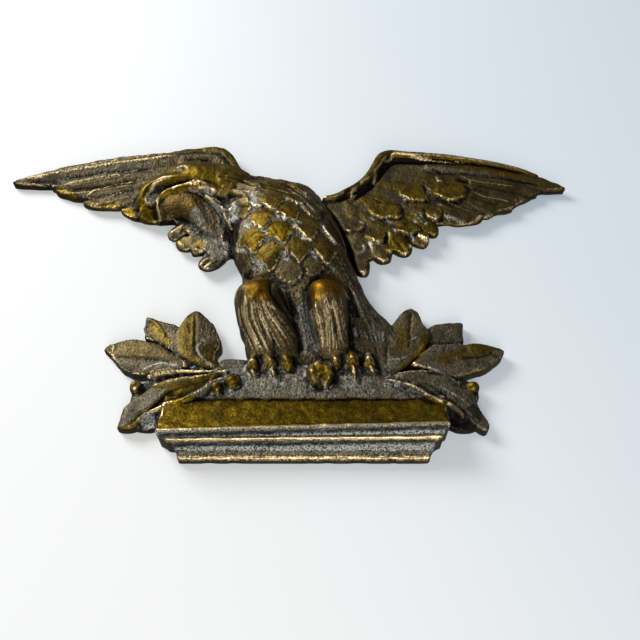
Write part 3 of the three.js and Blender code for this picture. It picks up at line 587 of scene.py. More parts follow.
# outline, how golden, how much painted shade; the lowest lies under the others
SCALES = (
    ([(-13.8, -36.2), (-12.9, -33.6), (-10.4, -32.5), (-7.6, -31.2), (-4.7, -33.1), (-2.2, -35.3),
     (-2.2, -38.5), (-3.6, -41.2), (-6.5, -43), (-10.4, -41.8), (-13.3, -39.4)], 0.15, 0),
    ([(-0.8, -34.4), (0.6, -32.4), (2.5, -31.3), (5, -31.9), (7.8, -35.4), (5, -39.5), (3, -39.8),
     (1.1, -37.6), (-0.8, -35.8)], 0.35, 0.05),
    ([(-33.9, -25.2), (-32.8, -23.4), (-28.6, -27.8), (-26.3, -32.1), (-27.2, -36.9), (-30.3, -36.8),
     (-32.6, -31.6)], 0.5, 1.3),
    ([(-21.8, -25.6), (-20.4, -24.5), (-15.9, -23.2), (-12, -26.8), (-11, -27.9), (-12.4, -28.8),
     (-14.1, -29.1), (-13.4, -30.9), (-14.1, -32.6), (-14.8, -34.8), (-16.7, -36.8), (-17.9, -36.6),
     (-19.4, -34.1), (-23.2, -29.8), (-22.8, -27.3)], 0.85, 0.4),
    ([(-9.1, -26.7), (-8.6, -24.7), (-6.7, -22.6), (-4.3, -21.6), (-1.9, -22.8), (0.6, -24.8), (2.5, -26.7),
     (1.6, -28.1), (0.1, -29.2), (-0.6, -31.2), (-3, -33.5), (-5.9, -30), (-7.8, -29), (-8.8, -28)], 0.8, 0),
    ([(3.5, -25.8), (4.5, -23), (6.4, -20.1), (8.4, -19.2), (10.8, -20.9), (13.2, -23), (15.2, -24.6),
     (14.2, -28.1), (11.7, -33.3), (10.7, -33.9), (8.8, -32.5), (6.9, -29.7)], 0.75, 0.1),
    ([(-32.5, -16.2), (-31, -14.3), (-28.9, -13.7), (-26.3, -13.9), (-23.7, -15.3), (-20.2, -19.5),
     (-20.7, -21), (-22.4, -21.6), (-22.6, -23.5), (-24.8, -27.2), (-26.1, -26.8), (-27.4, -24.4),
     (-29, -22.3), (-31.2, -20.5), (-32.7, -18.3)], 1.0, 0.4),
    ([(-18.1, -15.6), (-16.8, -12.6), (-14.3, -11.2), (-11.9, -11.6), (-7.3, -14.9), (-6.3, -16.9),
     (-7, -18.5), (-8.5, -19.4), (-8.4, -21.6), (-10.6, -24.6), (-12.5, -23), (-14.8, -21), (-18.2, -19.8)],
     1.0, 0.1),
    ([(-39.3, -5.2), (-37, -3.3), (-33, -4.3), (-33.5, -7.4), (-34.9, -11.1), (-33.9, -15.2), (-35.2, -18.6),
     (-34.5, -24.4), (-36.3, -26.8), (-37.8, -21.9), (-38.9, -14)], 0.5, 1.3),
    ([(8.4, -9.8), (10.4, -7.5), (12.4, -8), (16.9, -13.1), (17.9, -15.2), (16.5, -20.7), (14.8, -20.9),
     (12.3, -18.1), (8.4, -12.8)], 0.4, 0.6),
    ([(-4.7, -11.5), (-4, -7.4), (-2.6, -4.3), (-0.6, -4.7), (1.9, -7), (4.9, -8.3), (6.6, -9.9), (5.9, -13),
     (4.4, -19), (3.5, -21.5), (2, -22.5), (0.1, -20.8), (-2.9, -16.4), (-4.9, -15.8), (-5.6, -14.2)], 0.75,
     0.05),
    ([(-27.2, -5.9), (-25.8, -3.1), (-23.2, -2.1), (-18.1, -3.3), (-16.3, -6.2), (-17.7, -8), (-18.9, -8.5),
     (-18.3, -11.2), (-19.2, -13.6), (-20.7, -14.8), (-22.2, -14.5), (-24.3, -12.1), (-26.5, -9.9),
     (-27.3, -7.7)], 0.95, 0.35),
    ([(-14.1, -3.1), (-13.2, -0.6), (-11.7, 0.9), (-9.8, 1.7), (-7.2, 1.1), (-3.4, -2.9), (-4.5, -8.8),
     (-5.7, -10.6), (-7.9, -10.3), (-9.7, -9), (-11, -6.3), (-12.3, -5.7), (-13.8, -5.6)], 0.95, 0),
    ([(-1.2, 1.4), (0.3, 2.7), (2.8, 1.2), (5.4, -1.8), (6.9, -4.4), (6.4, -6.6), (4.9, -7.6), (2.9, -6.8),
     (-0.9, -1.7)], 0.5, 0.1),
    ([(-34.2, 3.6), (-31.1, 3.7), (-28.9, 0.6), (-28.9, -2.8), (-31.1, -4.8), (-33.3, -2.7)], 0.7, 0.3),
    ([(-21.7, 8), (-19.7, 8.5), (-14, 7.6), (-12.4, 5.7), (-12.1, 3.4), (-13.3, 0.8), (-14.5, -0.6),
     (-15.1, -2.4), (-16.4, -3), (-18.2, -1.5), (-21.9, 2.2), (-24, 3.6), (-23.6, 6)], 0.85, 0.05),
    ([(-29, 8.3), (-26.9, 8.3), (-24.2, 6.9), (-23.5, 3.9), (-22.4, 0.9), (-23.9, -0.2), (-26.5, 1.9),
     (-28.8, 5.4)], 0.5, 0.2),
    ([(-9.4, 5.5), (-8.4, 7.9), (-5.9, 8.4), (-1.8, 4.1), (-1.2, 3), (-2.2, 1.2), (-4.2, 1.9), (-6.8, 3.4),
     (-8.8, 4)], 0.6, 0.1),
)
# The shadow column paints shade over a scale, and less of it on the scale's rim.
for outline, golden, shadow in SCALES:
    plate(outline, None, (0.5, 1.6), breast_top, way=(0.1, -1), lip=0.3, curl=0, ragged=0.3, grow=0.6,
        crown=0.3, paint=dict(gold=0.3 + 0.7 * golden, grey=0.5 * (1 - golden), rough=0.2, pale=0,
        dark=shadow), rim=dict(worn=0.8 + 0.3 * golden, dark=0.4 * shadow))

# Thighs

thighs = [
    [[-44, -27, -15, 18, 15], [-46.5, -31.5, -11.5, 24, 14], [-51, -34.5, -8, 26, 12, 0.48],
     [-60, -32.5, -5.5, 24, 8], [-70, -28.5, -2.5, 19, 6], [-80, -26.5, -0.5, 15, 5], [-88, -25, 0, 12, 5]],
    [[-44, 4, 15, 18, 15], [-46.5, 1, 18.5, 24, 14], [-51, 0, 20.5, 26, 12, 0.48],
     [-60, 0.5, 21.5, 24, 8, 0.48], [-70, 2, 21.5, 19, 6], [-80, 5, 22, 15, 5], [-88, 8, 26, 11, 5]],
]
for rows in thighs:
    mass(rows, power=2.2, paint=dict(grey=0.35, rough=0.4, gold=0.6, warm=0.15))

# Head

head = [
    [-30, 14, 32, 16, 12], [-38, 14, 38, 18, 12], [-48, 16, 40, 19, 11], [-58, 20, 41, 20, 11, 0.45],
    [-66, 21, 41, 19, 11, 0.45], [-73, 22, 39, 17, 10, 0.5], [-78, 23, 35, 14, 9, 0.6],
]
throat = [
    [-79, 6, 15.5, 10, 5], [-75, 4.6, 21.5, 13.6, 4.6, 0.65], [-71, 4.4, 24, 15, 4.6, 0.6],
    [-66, 4.4, 25, 16, 5, 0.55], [-60, 1, 24.5, 16, 6, 0.55], [-55, -5, 19, 14.6, 6.6],
    [-51, -8, 16, 13.2, 7], [-46, -8, 11.6, 11, 7],
]
mass(throat, "x", power=2.4, paint=dict(grey=0.1, rough=0.7, gold=0.45, warm=0.25, dark=0.1))
mass(head, "x", power=2.2, paint=dict(gold=0.8, grey=0.0, rough=0.05))
GOLD = dict(gold=0.95, grey=0, rough=0)
# Floor of the open mouth, and the tip of the beak below it
leaf([(-74.3, 30.5), (-77.5, 30.4), (-81, 28.2), (-83.8, 24.8), (-85.9, 20.7), (-86.7, 16.8), (-84.9, 12.8),
    (-81.6, 12.1), (-78.8, 14.8), (-77.4, 18.5), (-75.9, 21.6), (-74.1, 24.1), (-72.2, 26.8)], (12, 12),
    (0, -1), dict(grey=0.9, rough=1, dark=0.45, gold=0))
leaf([(-87.9, 16.3), (-85, 14.5), (-81.8, 13.4), (-79.3, 14.3), (-78.4, 12.8), (-77.1, 6.9), (-75.7, 4.5),
    (-82.7, 4.6), (-85.8, 5.5), (-88.4, 7.1), (-89.4, 10)], (12.5, 6), (0.1, -1), GOLD)
band([(-54, 33), (-64, 31.5), (-72, 30.5), (-78.5, 28.8), (-84, 24.5), (-87, 18.5), (-87, 12), (-85, 6.5)],
    [11, 11, 10, 8.6, 7, 6, 5.4, 5], [19, 19.2, 18.4, 17.4, 16.2, 14.6, 12.4, 9.4], crown=3.4, level=AT_HEAD,
    lean=0.5, paint=GOLD)
band([(-50, 21.5), (-57, 23.4), (-65, 21.3), (-71.8, 19.3), (-75.6, 16), (-77, 11), (-76.8, 5), (-75.7, 0),
    (-75.2, -2.4)], [6, 6.8, 6, 5, 4, 3.4, 3, 2.6, 2.2], [18.6, 19.4, 18.4, 17.2, 15.8, 13.8, 11.4, 8.8, 7.4],
    crown=2.0, level=AT_HEAD, paint=GOLD)
HACKLE = dict(width=5.4, crown=1.0, point=1.4, paint=dict(grey=0.5, rough=0.6, gold=0.35))
blade((-53, 10), (-43.5, -11), bow=2.5, rise=(13.8, 9), **HACKLE)
blade((-53, 16), (-38.5, -6), bow=3, rise=(15.4, 12.4), **HACKLE)
neck = blur(H, 1.5)
plate([(-44.6, 10.6), (-41, 9.4), (-38, 6), (-38.6, 3.4), (-42, 4), (-45, 7.4)], 16, (0.3, 1.2), neck,
    way=(0.6, -0.8), paint=dict(gold=0.5, grey=0.2), rim=dict(worn=0.8))
plate([(-49.6, 20.6), (-41.5, 19.2), (-34.5, 16.6), (-31.2, 12.7), (-29, 5.6), (-31.2, 4.9), (-35.5, 7.4),
    (-42, 11.3), (-48, 14.8)], 17, (0.4, 1.5), neck, way=(0.75, -0.65), paint=GOLD, rim=dict(worn=0.5))
plate([(-48, 30.6), (-36.7, 27.7), (-30.2, 24.8), (-25.8, 21.1), (-23.3, 17.8), (-25.5, 16), (-29.7, 16.7),
    (-35.1, 18.2), (-40.6, 20.4), (-47, 22)], 18, (0.2, 1.3), neck, way=(0.9, -0.45), paint=dict(GOLD,
    gold=0.7, grey=0.1, dark=0.15), rim=dict(worn=0.15))

# Leaves in front of the mound and the shelf

for outline, rise, way, paint in (
    ([(-72.1, -88.7), (-68, -86.9), (-56.6, -86), (-47.4, -86.6), (-40.5, -86.9), (-40.4, -87.6),
     (-47.2, -88.3), (-56.4, -88), (-67.7, -89.4), (-71, -90.1)], (10, 7.4), (-1, -0.05),
     dict(grey=0.2, gold=0.4, rough=0.7)),
    ([(-81.9, -113.7), (-80.9, -107.9), (-80.3, -104.4), (-77.5, -101.1), (-72.2, -96.8), (-69.3, -94.7),
     (-64.8, -93.7), (-59.6, -92), (-42.5, -88.7), (-35.4, -87.5), (-35.3, -88.8), (-38.8, -90.1),
     (-43.3, -95.5), (-51.4, -101.4), (-54.8, -102.4), (-61.2, -105.8), (-64.6, -107), (-67.7, -107.6),
     (-70.6, -109.6), (-74.4, -113.9), (-79.7, -114.4)], (11, 5), (-0.88, -0.48),
     dict(gold=0.7, grey=0.1, rough=0.2)),
    ([(-69.6, -94.2), (-60.6, -90.6), (-47, -89.4), (-40.3, -88.3), (-34.9, -87.3), (-34.8, -88.1),
     (-40.1, -89.6), (-46.8, -91.9), (-52.1, -93.1), (-61.8, -96.1)], (11.5, 7.5), (-0.98, -0.19),
     dict(grey=0.2, gold=0.5, rough=0.6)),
    ([(80.9, -113.7), (80.8, -110.9), (77.6, -104.4), (75.7, -97.2), (74, -95.6), (71, -94.5), (69.4, -91.9),
     (67.7, -90.2), (64.3, -87.9), (61.1, -87.4), (54.3, -86.7), (47.4, -87.2), (41.4, -88.9), (37.2, -91.4),
     (34.5, -92.9), (36.7, -93.3), (40.3, -93.2), (46.9, -95), (53.7, -100.5), (58.4, -103.6), (60.1, -104.3),
     (62.8, -103.9), (64.9, -105), (68.8, -106.3), (72.4, -110.5), (77.6, -115.2), (79.8, -115.2)], (11, 5.4),
     (0.9, -0.43), DARK_LEAF),
):
    leaf(outline, rise, way, paint)

# Edges of the front leaves, rolled up over the shelf
band([(-32.2, -92.2), (-36.6, -93), (-40.1, -94.5), (-42.6, -96.6), (-45.1, -98.9), (-48.5, -101.1),
    (-52.8, -103), (-58, -104.6), (-63.2, -106), (-67.6, -106.7)], [1.5, 2.6, 3, 3.2, 3.2, 3, 2.2], [11.5,
    12.2, 12.6, 12.6, 11.8, 10, 7.5], crown=1.4, paint=dict(gold=0.9, worn=0.3))
band([(37.1, -93), (42.4, -94.5), (47.6, -96.3), (51, -98.7), (54.3, -101.5), (58.6, -103.8), (62.9, -105.1),
    (66.7, -106.4), (69.5, -108.7)], [1.4, 2.2, 2.6, 2.6, 2.8, 2.4], [11.2, 11.6, 11.8, 12, 11.5, 8.5],
    crown=1.2, paint=dict(gold=0.9, worn=0.35))

# Feet, nut and berries

# top of the knuckle, its lower rim, tip of the claw, width
TOES = (
    ((-23.4, -82.6), (-23.4, -86.2), (-21.3, -94.8), 6.0),
    ((-15.8, -81.6), (-15, -86.2), (-11.4, -96.6), 5.6), ((-9, -81), (-7.6, -86), (-6, -92), 5.8),
    ((13.4, -81.4), (14.2, -85.4), (15.4, -92.6), 4.8), ((21.2, -79), (21.8, -84.4), (23.4, -97.6), 6.8),
    ((28.6, -81), (29, -85), (31.8, -93), 6.2),
)
for top, mouth, claw, width in TOES:
    (x, z), (claw_x, claw_z) = (mouth, claw)
    band([mouth, (0.5 * (x + claw_x) - 0.5, 0.5 * (z + claw_z)), claw], [3.6, 3, 1.6], [13, 12.4, 9.8],
        crown=2, level=AT_TOES, paint=dict(gold=0.5, grey=0.1))
    band([top, (0.5 * (x + top[0]), 0.5 * (z + top[1])), mouth], [0.6 * width, 0.9 * width, width], [13.4, 15,
        14.2], crown=3, level=AT_TOES, paint=dict(gold=0.8, grey=0, rough=0))
NUT = dict(level=AT_NUT, power=2.4, paint=GOLD)
band([(3.8, -88.6), (4.4, -92), (6.4, -98.4)], [6.4, 7.4, 6], [14.6, 15.6, 12], crown=4, **NUT)
band([(9.2, -88), (10.4, -91.4), (8.8, -97)], [6.4, 7.4, 5.6], [14.8, 15.6, 13], crown=4, **NUT)
band([(6.4, -87.6), (6.8, -91), (6.8, -95)], [6, 7, 5], [14.9, 15.5, 14.2], crown=1.6, **NUT)
# middle, radius, height of its top and of its foot
BERRIES = (((-32, -94), 3.6, 14, 9), ((-39, -97), 3, 13, 9), ((-76, -94), 3, 9, 5), ((76, -94), 3, 8, 5))
for (bx, bz), radius, height, base in BERRIES:
    win = window(bx - radius, bx + radius, bz - radius, bz + radius)
    away = np.hypot(XW[win] - bx, ZW[win] - bz)
    surface = base + (height - base) * np.sqrt(np.clip(1 - (away / radius) ** 2, 0, 1))
    lay(win, surface, radius - away, SOFT, GOLD)

# Lines and tints, read from views squared up at one height each

BARE = dict(worn=0.8)

# Left wing: ridges with wear and painted highlights, grooves between the feathers with painted shade, and
# smooth margins
for points, depth, width, paint in (
    ([(-162, 35.6), (-150, 38.8), (-140, 42.2), (-100, 51.2), (-90, 52.8), (-70, 56.6)], 0.7, 1.3,
     dict(worn=0.75)),
    ([(-158, 36.8), (-150, 40.2), (-130, 45.6), (-90, 54.4), (-76, 57.4)], -0.35, 0.8, dict(gold=0.6,
     dark=0.35, grey=0, rough=0)),
    ([(-159, 34.2), (-150, 34.6), (-140, 34.1), (-133, 33.7), (-125, 35.2), (-95, 42.6), (-85, 45)], -0.9,
     1.2, dict(dark=0.6, gold=0.5)),
    ([(-162.5, 33.2), (-150, 32.6), (-141, 31.6)], 0.5, 0.8, dict(worn=0.8, rough=0)),
    ([(-137, 32.4), (-125, 33.7), (-110, 37.6), (-100, 40.2), (-90, 42.4)], 0.7, 1.2,
     dict(worn=0.45, rough=1)),
    ([(-133, 28.6), (-120, 28.7), (-100, 33.4), (-92, 36)], -0.7, 1.3, dict(gold=0.8, dark=0.4, grey=0,
     rough=0)),
    ([(-132, 26), (-125, 26.6), (-94, 32.6)], 0.7, 1.1, dict(worn=0.5, rough=1)),
    ([(-128, 24.3), (-120, 23), (-110, 24.6), (-93, 29)], -0.6, 0.9, dict(dark=0.4)),
    ([(-118, 18.2), (-112, 18.6), (-105, 20.5), (-100, 22.8), (-95, 24)], 0.6, 1.0, dict(worn=0.45, rough=1)),
    ([(-104, 18.5), (-98, 19), (-93, 21.5)], 0.5, 1.0, dict(worn=0.3, rough=1)),
    ([(-102, 15.5), (-97, 14.2), (-93, 15.2), (-90, 17.5)], 0.4, 0.8, dict(worn=0.3)),
):
    stroke(points, depth, width, AT_LEFT, **paint)
for points in (
    [(-138, 29.6), (-132, 25), (-123, 20.4)], [(-121, 18.6), (-118, 15.4), (-110, 13.3), (-99, 12)],
    [(-97, 11.5), (-86, 5.8), (-78, 4.6)],
):
    tint(points, 2.2, AT_LEFT, gold=0.9, grey=0, rough=0)
strands([[(-95, 13), (-91, 7.5)], [(-88, 15), (-85, 5.8)], [(-82, 13), (-79, 5)]], 16, 0.16, 0.5, AT_LEFT,
    41, worn=0.3)

for points, depth, width, paint in (
    ([(-76, 56), (-62, 57.6), (-51, 57.6), (-46, 55), (-42, 48.6), (-38.4, 41)], 0.3, 1.6,
     dict(gold=0.9, grey=0, rough=0)),
    ([(-74, 53.6), (-62, 54.8), (-52, 55), (-47.4, 52), (-40, 40)], -0.7, 0.9, dict(dark=0.5, rough=1)),
    ([(-72, 51), (-62, 52), (-53, 51.6), (-49.6, 48.6), (-46, 43), (-43, 39)], 0.4, 2.4,
     dict(worn=0.35, rough=1, grey=0.3)),
    ([(-70, 49.4), (-60, 49), (-53, 47), (-49, 43)], -0.7, 0.9, dict(dark=0.5)),
    ([(-68, 46), (-58, 45.6), (-50, 43)], 0.4, 1.4, dict(gold=0.7, rough=0.5, grey=0.1)),
):
    stroke(points, depth, width, AT_SHOULDER, **paint)

# Wing bars are combed across
for across in ([(-157, 36.4), (-84, 52.6)], [(-154, 35.2), (-140, 37.2), (-84, 49.4)]):
    tint(across, 2.6, AT_LEFT, rough=0.9, grey=0.55)

# Small lobes of the left wing
for points, depth, width, paint in (
    ([(-71.5, -2.5), (-64.5, 5)], 0.7, 0.8, BARE),
    ([(-68.5, -3), (-65, 1), (-61.5, 4.5)], 0.6, 0.8, dict(worn=0.5)),
    ([(-70, -1), (-66.5, 2.8)], -0.5, 0.6, dict(dark=0.5)),
    ([(-66.5, -1), (-63.2, 2.6)], -0.5, 0.6, dict(dark=0.5)),
    ([(-70.5, -5), (-61, -2.5)], -0.9, 0.9, dict(dark=0.7, pale=0.2)),
    ([(-66.8, -8), (-65.5, -10), (-62.5, -11)], 0.5, 0.9, dict(worn=0.6, gold=0.9)),
    ([(-65, -5.5), (-61, -5), (-58, -3.5)], 0.4, 1.0, dict(gold=0.5)),
    ([(-59.5, -11.5), (-59, -14.5), (-55, -19)], -0.7, 0.8, dict(dark=0.6)),
    ([(-57.8, -13), (-54.8, -13.8), (-51.5, -12.8)], 0.7, 0.8, BARE),
    ([(-56.3, -14.6), (-50.5, -14)], -0.6, 0.6, dict(dark=0.7)),
    ([(-56, -16.4), (-53.6, -16), (-51.5, -15.2)], 0.6, 0.7, dict(worn=0.7)),
    ([(-54.4, -19.4), (-51.5, -18.4), (-48.5, -16.6)], -0.9, 0.9, dict(dark=0.7)),
    ([(-53.8, -24.5), (-52.6, -21.8), (-49.5, -19)], 0.7, 0.8, BARE),
    ([(-53.4, -25.6), (-48.4, -20.4)], -0.7, 0.6, dict(dark=0.6)),
    ([(-52.6, -27), (-47.8, -21.4)], 0.7, 1.2, BARE), ([(-44, -18), (-43.4, -24)], 0.3, 0.5, dict(pale=0.2)),
    ([(-45.6, -19), (-45.4, -25)], -0.3, 0.5, dict(dark=0.3)),
    ([(-48, -22), (-48.4, -26.6)], -0.3, 0.5, dict(dark=0.3)),
    ([(-41.4, -14), (-40, -22.5)], 0.35, 0.7, dict(grey=1, pale=0.25)),
):
    stroke(points, depth, width, AT_LEFT, **paint)
tint([(-57.5, -9), (-54.5, -9.5), (-51.5, -7.5)], 2.6, AT_LEFT, gold=0.95, grey=0, rough=0)
tint([(-68, -7), (-66, -9)], 1.8, AT_LEFT, gold=0.9, grey=0)
tint([(-60, 5), (-55, 0), (-50, -6), (-43, -20)], 4, AT_LEFT, grey=0.6, rough=0.8, gold=0.1)

# Head: mouth, eye, cheek and neck, with painted shade in the mouth and the grooves
for points, depth, width, paint in (
    ([(-74.5, 24), (-62, 25.6)], -0.8, 0.9, dict(dark=0.5, rough=1)),
    ([(-70, 17), (-61, 15.4)], 0.3, 1.6, dict(gold=0.5)),
    ([(-63, 19), (-50, 17.4)], -0.9, 0.8, dict(dark=0.4, pale=0.3)),
    ([(-62, 20.2), (-57, 18.9), (-51, 18.7)], 0.3, 0.7, dict(worn=0.9)),
    ([(-50, 10.5), (-45, 2), (-43.4, -10)], 0.35, 0.6, dict(pale=0.15)),
    ([(-47.8, 10.5), (-45, 5), (-43.4, -1), (-42.9, -8)], -0.6, 0.7, dict(dark=0.5)),
    ([(-40.4, 0), (-39.6, -6), (-39.8, -13)], -0.5, 0.7, dict(dark=0.3)),
    ([(-30.6, 7.6), (-29, 5.6), (-29.3, 3.4)], 0.4, 0.8, BARE),
    ([(-46, 26.4), (-41, 24.8), (-35, 21.6), (-29.6, 18.4)], -0.6, 0.6, dict(dark=0.6)),
    ([(-48, 28), (-41, 27.4), (-34, 24.4), (-27.6, 19.6)], -0.6, 0.6, dict(dark=0.6)),
    ([(-46, 30.6), (-38, 29), (-31, 26), (-26.6, 22.6)], -0.6, 0.6, dict(dark=0.55)),
    ([(-44, 26), (-38, 24), (-32, 21)], 0.4, 0.5, dict(gold=0.9)),
    ([(-44, 28.6), (-36, 26.6), (-30, 23.6)], 0.4, 0.5, dict(gold=0.9)),
    ([(-34, 17.4), (-29, 16.4), (-26, 16.2), (-24, 17.6)], 0.4, 0.7, dict(worn=0.7, gold=1)),
    ([(-29.8, 15.4), (-26.2, 8)], -0.6, 1.3, dict(pale=0.7, gold=0, grey=0.9)),
    ([(-26, 12), (-25.4, 9.4)], -0.5, 1.0, dict(dark=0.7)),
    ([(-34.6, -15), (-33.5, -30)], 0.5, 0.6, dict(worn=0.35, gold=0.6)),
    ([(-74, 33.5), (-71.5, 37), (-67, 38.8), (-60, 38.6), (-53, 37)], 0.35, 1.2, dict(gold=1)),
):
    stroke(points, depth, width, AT_HEAD, **paint)
for points, depth, width, paint in (
    ([(-69.7, 25.1), (-73, 25.8), (-78.3, 24.6), (-81.4, 22.6), (-85, 17.6), (-85.6, 15.2), (-84.7, 13.2),
     (-82.7, 11.7)], 0.4, 0.75, dict(worn=1, gold=1)),
    ([(-58.5, 20.9), (-62.7, 20.7), (-72.8, 21.3), (-77.8, 18), (-79.2, 12.7), (-76.2, 2.7)], 0.4, 0.8,
     dict(worn=0.95, gold=1)),
    ([(-75.4, 15), (-75.6, 11), (-73.4, 1.6)], -0.3, 1.6, dict(dark=0.7, gold=0.2)),
    ([(-71.4, 18.8), (-66.2, 19.1), (-61.8, 18.1), (-57.3, 15.2), (-53.3, 10.9), (-48.2, 1.1), (-48.7, -3)],
     0.5, 0.6, dict(gold=0.8, worn=0.35)),
    ([(-53.9, 18.3), (-40.6, 9)], -0.5, 0.9, dict(pale=0.6, gold=0)),
    ([(-47.5, 11.8), (-40.9, 6.8)], -0.8, 0.7, dict(dark=0.9)),
    ([(-43.4, 16), (-40.2, 14.8), (-33.9, 10.1), (-36.8, 10.6), (-40, 12.7)], -1.4, 0.8,
     dict(dark=1, gold=0)),
    ([(-45.3, 11.9), (-39.8, 7.3)], -0.8, 0.7, dict(dark=0.8)),
    ([(-38.9, 11.5), (-31.9, 6.6), (-29.2, 5.4)], 0.4, 0.8, dict(gold=1, worn=0.3)),
    ([(-49.5, 12.5), (-46.5, 7.5), (-44.6, 3.3), (-42.3, 1.2)], -0.5, 0.8, dict(pale=0.3, grey=0.9)),
    ([(-42.7, 5), (-42.9, -3.7), (-43.6, -10.4)], 0.7, 0.4, dict(worn=0.75, gold=1)),
    ([(-40.7, 5.1), (-39.1, 7.1)], 0.5, 0.5, dict(worn=0.9)),
):
    stroke(points, depth, width, **paint)
shade([(-71.2, 7), (-67.2, 9.2), (-62, 8.4), (-57.6, 6.3), (-55.2, 2.9), (-64.1, -0.3), (-69.3, 0.1)], soft=3,
    rough=0.9, dark=0.45, warm=0.4)
shade([(-60.7, 4.5), (-56.7, 6.6), (-53.2, 2.4), (-49.6, -8.5), (-56.9, -1.8), (-61.2, -0.4)], soft=2,
    grey=0.7, rough=0.8, pale=0.12)
strands([[(-60, 6), (-56, 2), (-53.6, -4), (-53, -10)], [(-54, 8), (-51.5, 2), (-49.8, -5), (-50, -12)]], 6,
    0.4, 0.6, AT_HEAD, 43, pale=0.2, worn=0.2)
strands([[(-48, 8), (-45.6, 2), (-45, -6), (-45.5, -14)], [(-43, 6), (-42.4, 0), (-42, -8), (-43, -16)]], 4,
    0.3, 0.5, AT_HEAD, 44, pale=0.15, worn=0.2)
# Painted shadow along the breast's left edge.
stroke([(-36.6, -6), (-37.2, -14), (-36, -31)], -1.6, 1.6, (AT_HEAD, 9), dark=1, gold=0, grey=0.2, pale=0)
shade([(-63.7, 22), (-61.8, 24.5), (-58.1, 24.9), (-54.2, 23.1), (-51.2, 19.3), (-50.9, 15.3), (-54, 14.5),
    (-62.3, 19.1)], 0.2, soft=2, worn=0.42, rough=0.3, gold=0.5)
for points, depth, width, wear in (
    ([(-51.8, 18.4), (-56.2, 21), (-64.6, 20.3), (-72.6, 16.7)], 0.35, 0.8, 0.95),
    ([(-62.5, 20), (-58.2, 18.3), (-51.2, 13.1), (-48.4, 9.6)], 0.35, 0.8, 0.85),
    ([(-63, 22), (-59, 22.6), (-54.6, 20.6)], 0.3, 0.6, 0.7),
    ([(-61, 18.2), (-57, 17.4), (-53.4, 15)], -0.3, 0.5, 0),
):
    stroke(points, depth, width, worn=wear, gold=0.8)
for points in (
    [(-38.5, 9), (-37, 5.5), (-38.4, 2.5), (-40, 0.5)], [(-38, 1), (-36, -2.5), (-33.5, -3.5)],
    [(-39.5, -2), (-37.5, -5)], [(-42, -18), (-38.5, -20), (-39.5, -25)],
):
    tint(points, 1.0, AT_HEAD, pale=0.75)
eye = np.array([(-71.1, 29.3), (-70.3, 31.9), (-68.6, 33.4), (-66.5, 33.6), (-64.5, 32.3), (-63.8, 30.4),
    (-64.9, 28.9), (-69.3, 28.2)])
shade(eye, -0.4, soft=0.8, grey=0.2, dark=0.35, gold=0.5)
stroke(eye[:7], 0.35, 0.36, pale=0.35, worn=0.2)
stroke(list(eye[6:]) + [eye[0]], 0.3, 0.36, worn=0.3)
stroke([(-67.7, 30.6), (-66.4, 31)], 0.7, 1.0, ends=(0.01, 0.01), gold=0.8, worn=0.2, dark=0)
# A painted highlight on the eyeball.
stroke([(-66.2, 31.5), (-65.9, 31.2)], 0.2, 0.4, ends=(0.01, 0.01), worn=0.9)

# Back of the neck and shoulder
for points, depth, width, paint in (
    ([(-33, 28.6), (-24, 26.2), (-17, 24.2), (-10.6, 21.6)], 0.9, 1.2, dict(gold=0.6, worn=0.25, grey=0)),
    ([(-31, 25.6), (-24, 23.8), (-16, 22), (-11, 20.4)], -0.8, 0.7, dict(dark=0.6)),
    ([(-24, 23), (-12, 20)], 0.4, 0.6, dict(worn=0.4)),
    ([(-12, 20.6), (-9.4, 19), (-8.4, 17)], -1.4, 1.0, dict(dark=1)),
    ([(-7.6, 20.2), (-3, 18.6), (0.6, 17.4)], 0.5, 1.2, dict(gold=0.4, worn=0.2)),
    ([(-8.3, 18.9), (-3.6, 16), (7.4, 3.3), (9.9, -0.8)], 0.9, 0.6, dict(worn=0.45, grey=0.5)),
    ([(-8.8, 16.7), (1.7, 7.5), (8.9, -2.9)], -0.9, 0.6, dict(dark=0.85)),
    ([(-8.8, 15.3), (-3.5, 10.7), (1.2, 5), (5.9, -1.6)], 0.7, 0.5, dict(worn=0.35, grey=0.7)),
    ([(-6.6, 19), (-1, 14.4), (8.8, 2.6)], -0.6, 0.5, dict(dark=0.7)),
    ([(-2.2, 8.4), (4.4, -1)], -0.5, 0.5, dict(dark=0.6, pale=0.2)),
    ([(9, 1), (8.4, -5)], -0.9, 1.0, dict(dark=0.95)),
    ([(11, -4), (14.6, -11), (17.4, -18), (19.4, -24)], -1.0, 0.9, dict(dark=0.9)),
    ([(10.6, -5), (15.6, -17.6)], 0.4, 1.2, dict(gold=0.7, grey=0, rough=0)),
    ([(8.1, -8.2), (11.9, -15.5), (15.5, -21.3)], 0.7, 0.7, dict(worn=0.85, pale=0.1)),
    ([(7, -6.6), (10.4, -14.6), (14.4, -21.6)], -0.7, 0.8, dict(pale=0.6, dark=0.3)),
    ([(2.6, 18.8), (4.6, 16.4)], 1.0, 1.6, dict(dark=1.0)),
    ([(5.6, 17), (5.2, 13)], -1.2, 1.0, dict(dark=1.0)),
):
    stroke(points, depth, width, AT_NECK, **paint)
# Painted shadow along the breast's right edge, against the wing.
stroke([(5.4, 19), (13.4, 8), (16.6, 1), (21.6, -14), (23, -22), (25.6, -31), (28, -37)], -2.2, 1.7, dark=1,
    gold=0, grey=0.2, pale=0, rough=0)
strands([[(13.4, -18.6), (19.2, -28.8), (22.9, -37.5), (28.3, -48.3)], [(9.9, -18.6), (15.7, -30.1),
    (19.9, -41.1), (24.9, -51.8)]], 9, 0.5, 0.45, AT_FLANK, 47, worn=0.6, gold=0.4)
strands([[(12.5, -31), (15, -37), (19, -45)], [(15, -25), (17.6, -33), (21.5, -44)], [(17, -21), (20, -31),
    (23, -41)]], 9, 0.35, 0.5, AT_NECK, 45, worn=0.35, gold=0.3)
strands([[(-33, -27), (-31, -34), (-28, -40)], [(-28.5, -24), (-27, -31), (-25.5, -38)]], 6, 0.5, 0.6,
    AT_NECK, 46, worn=0.4)
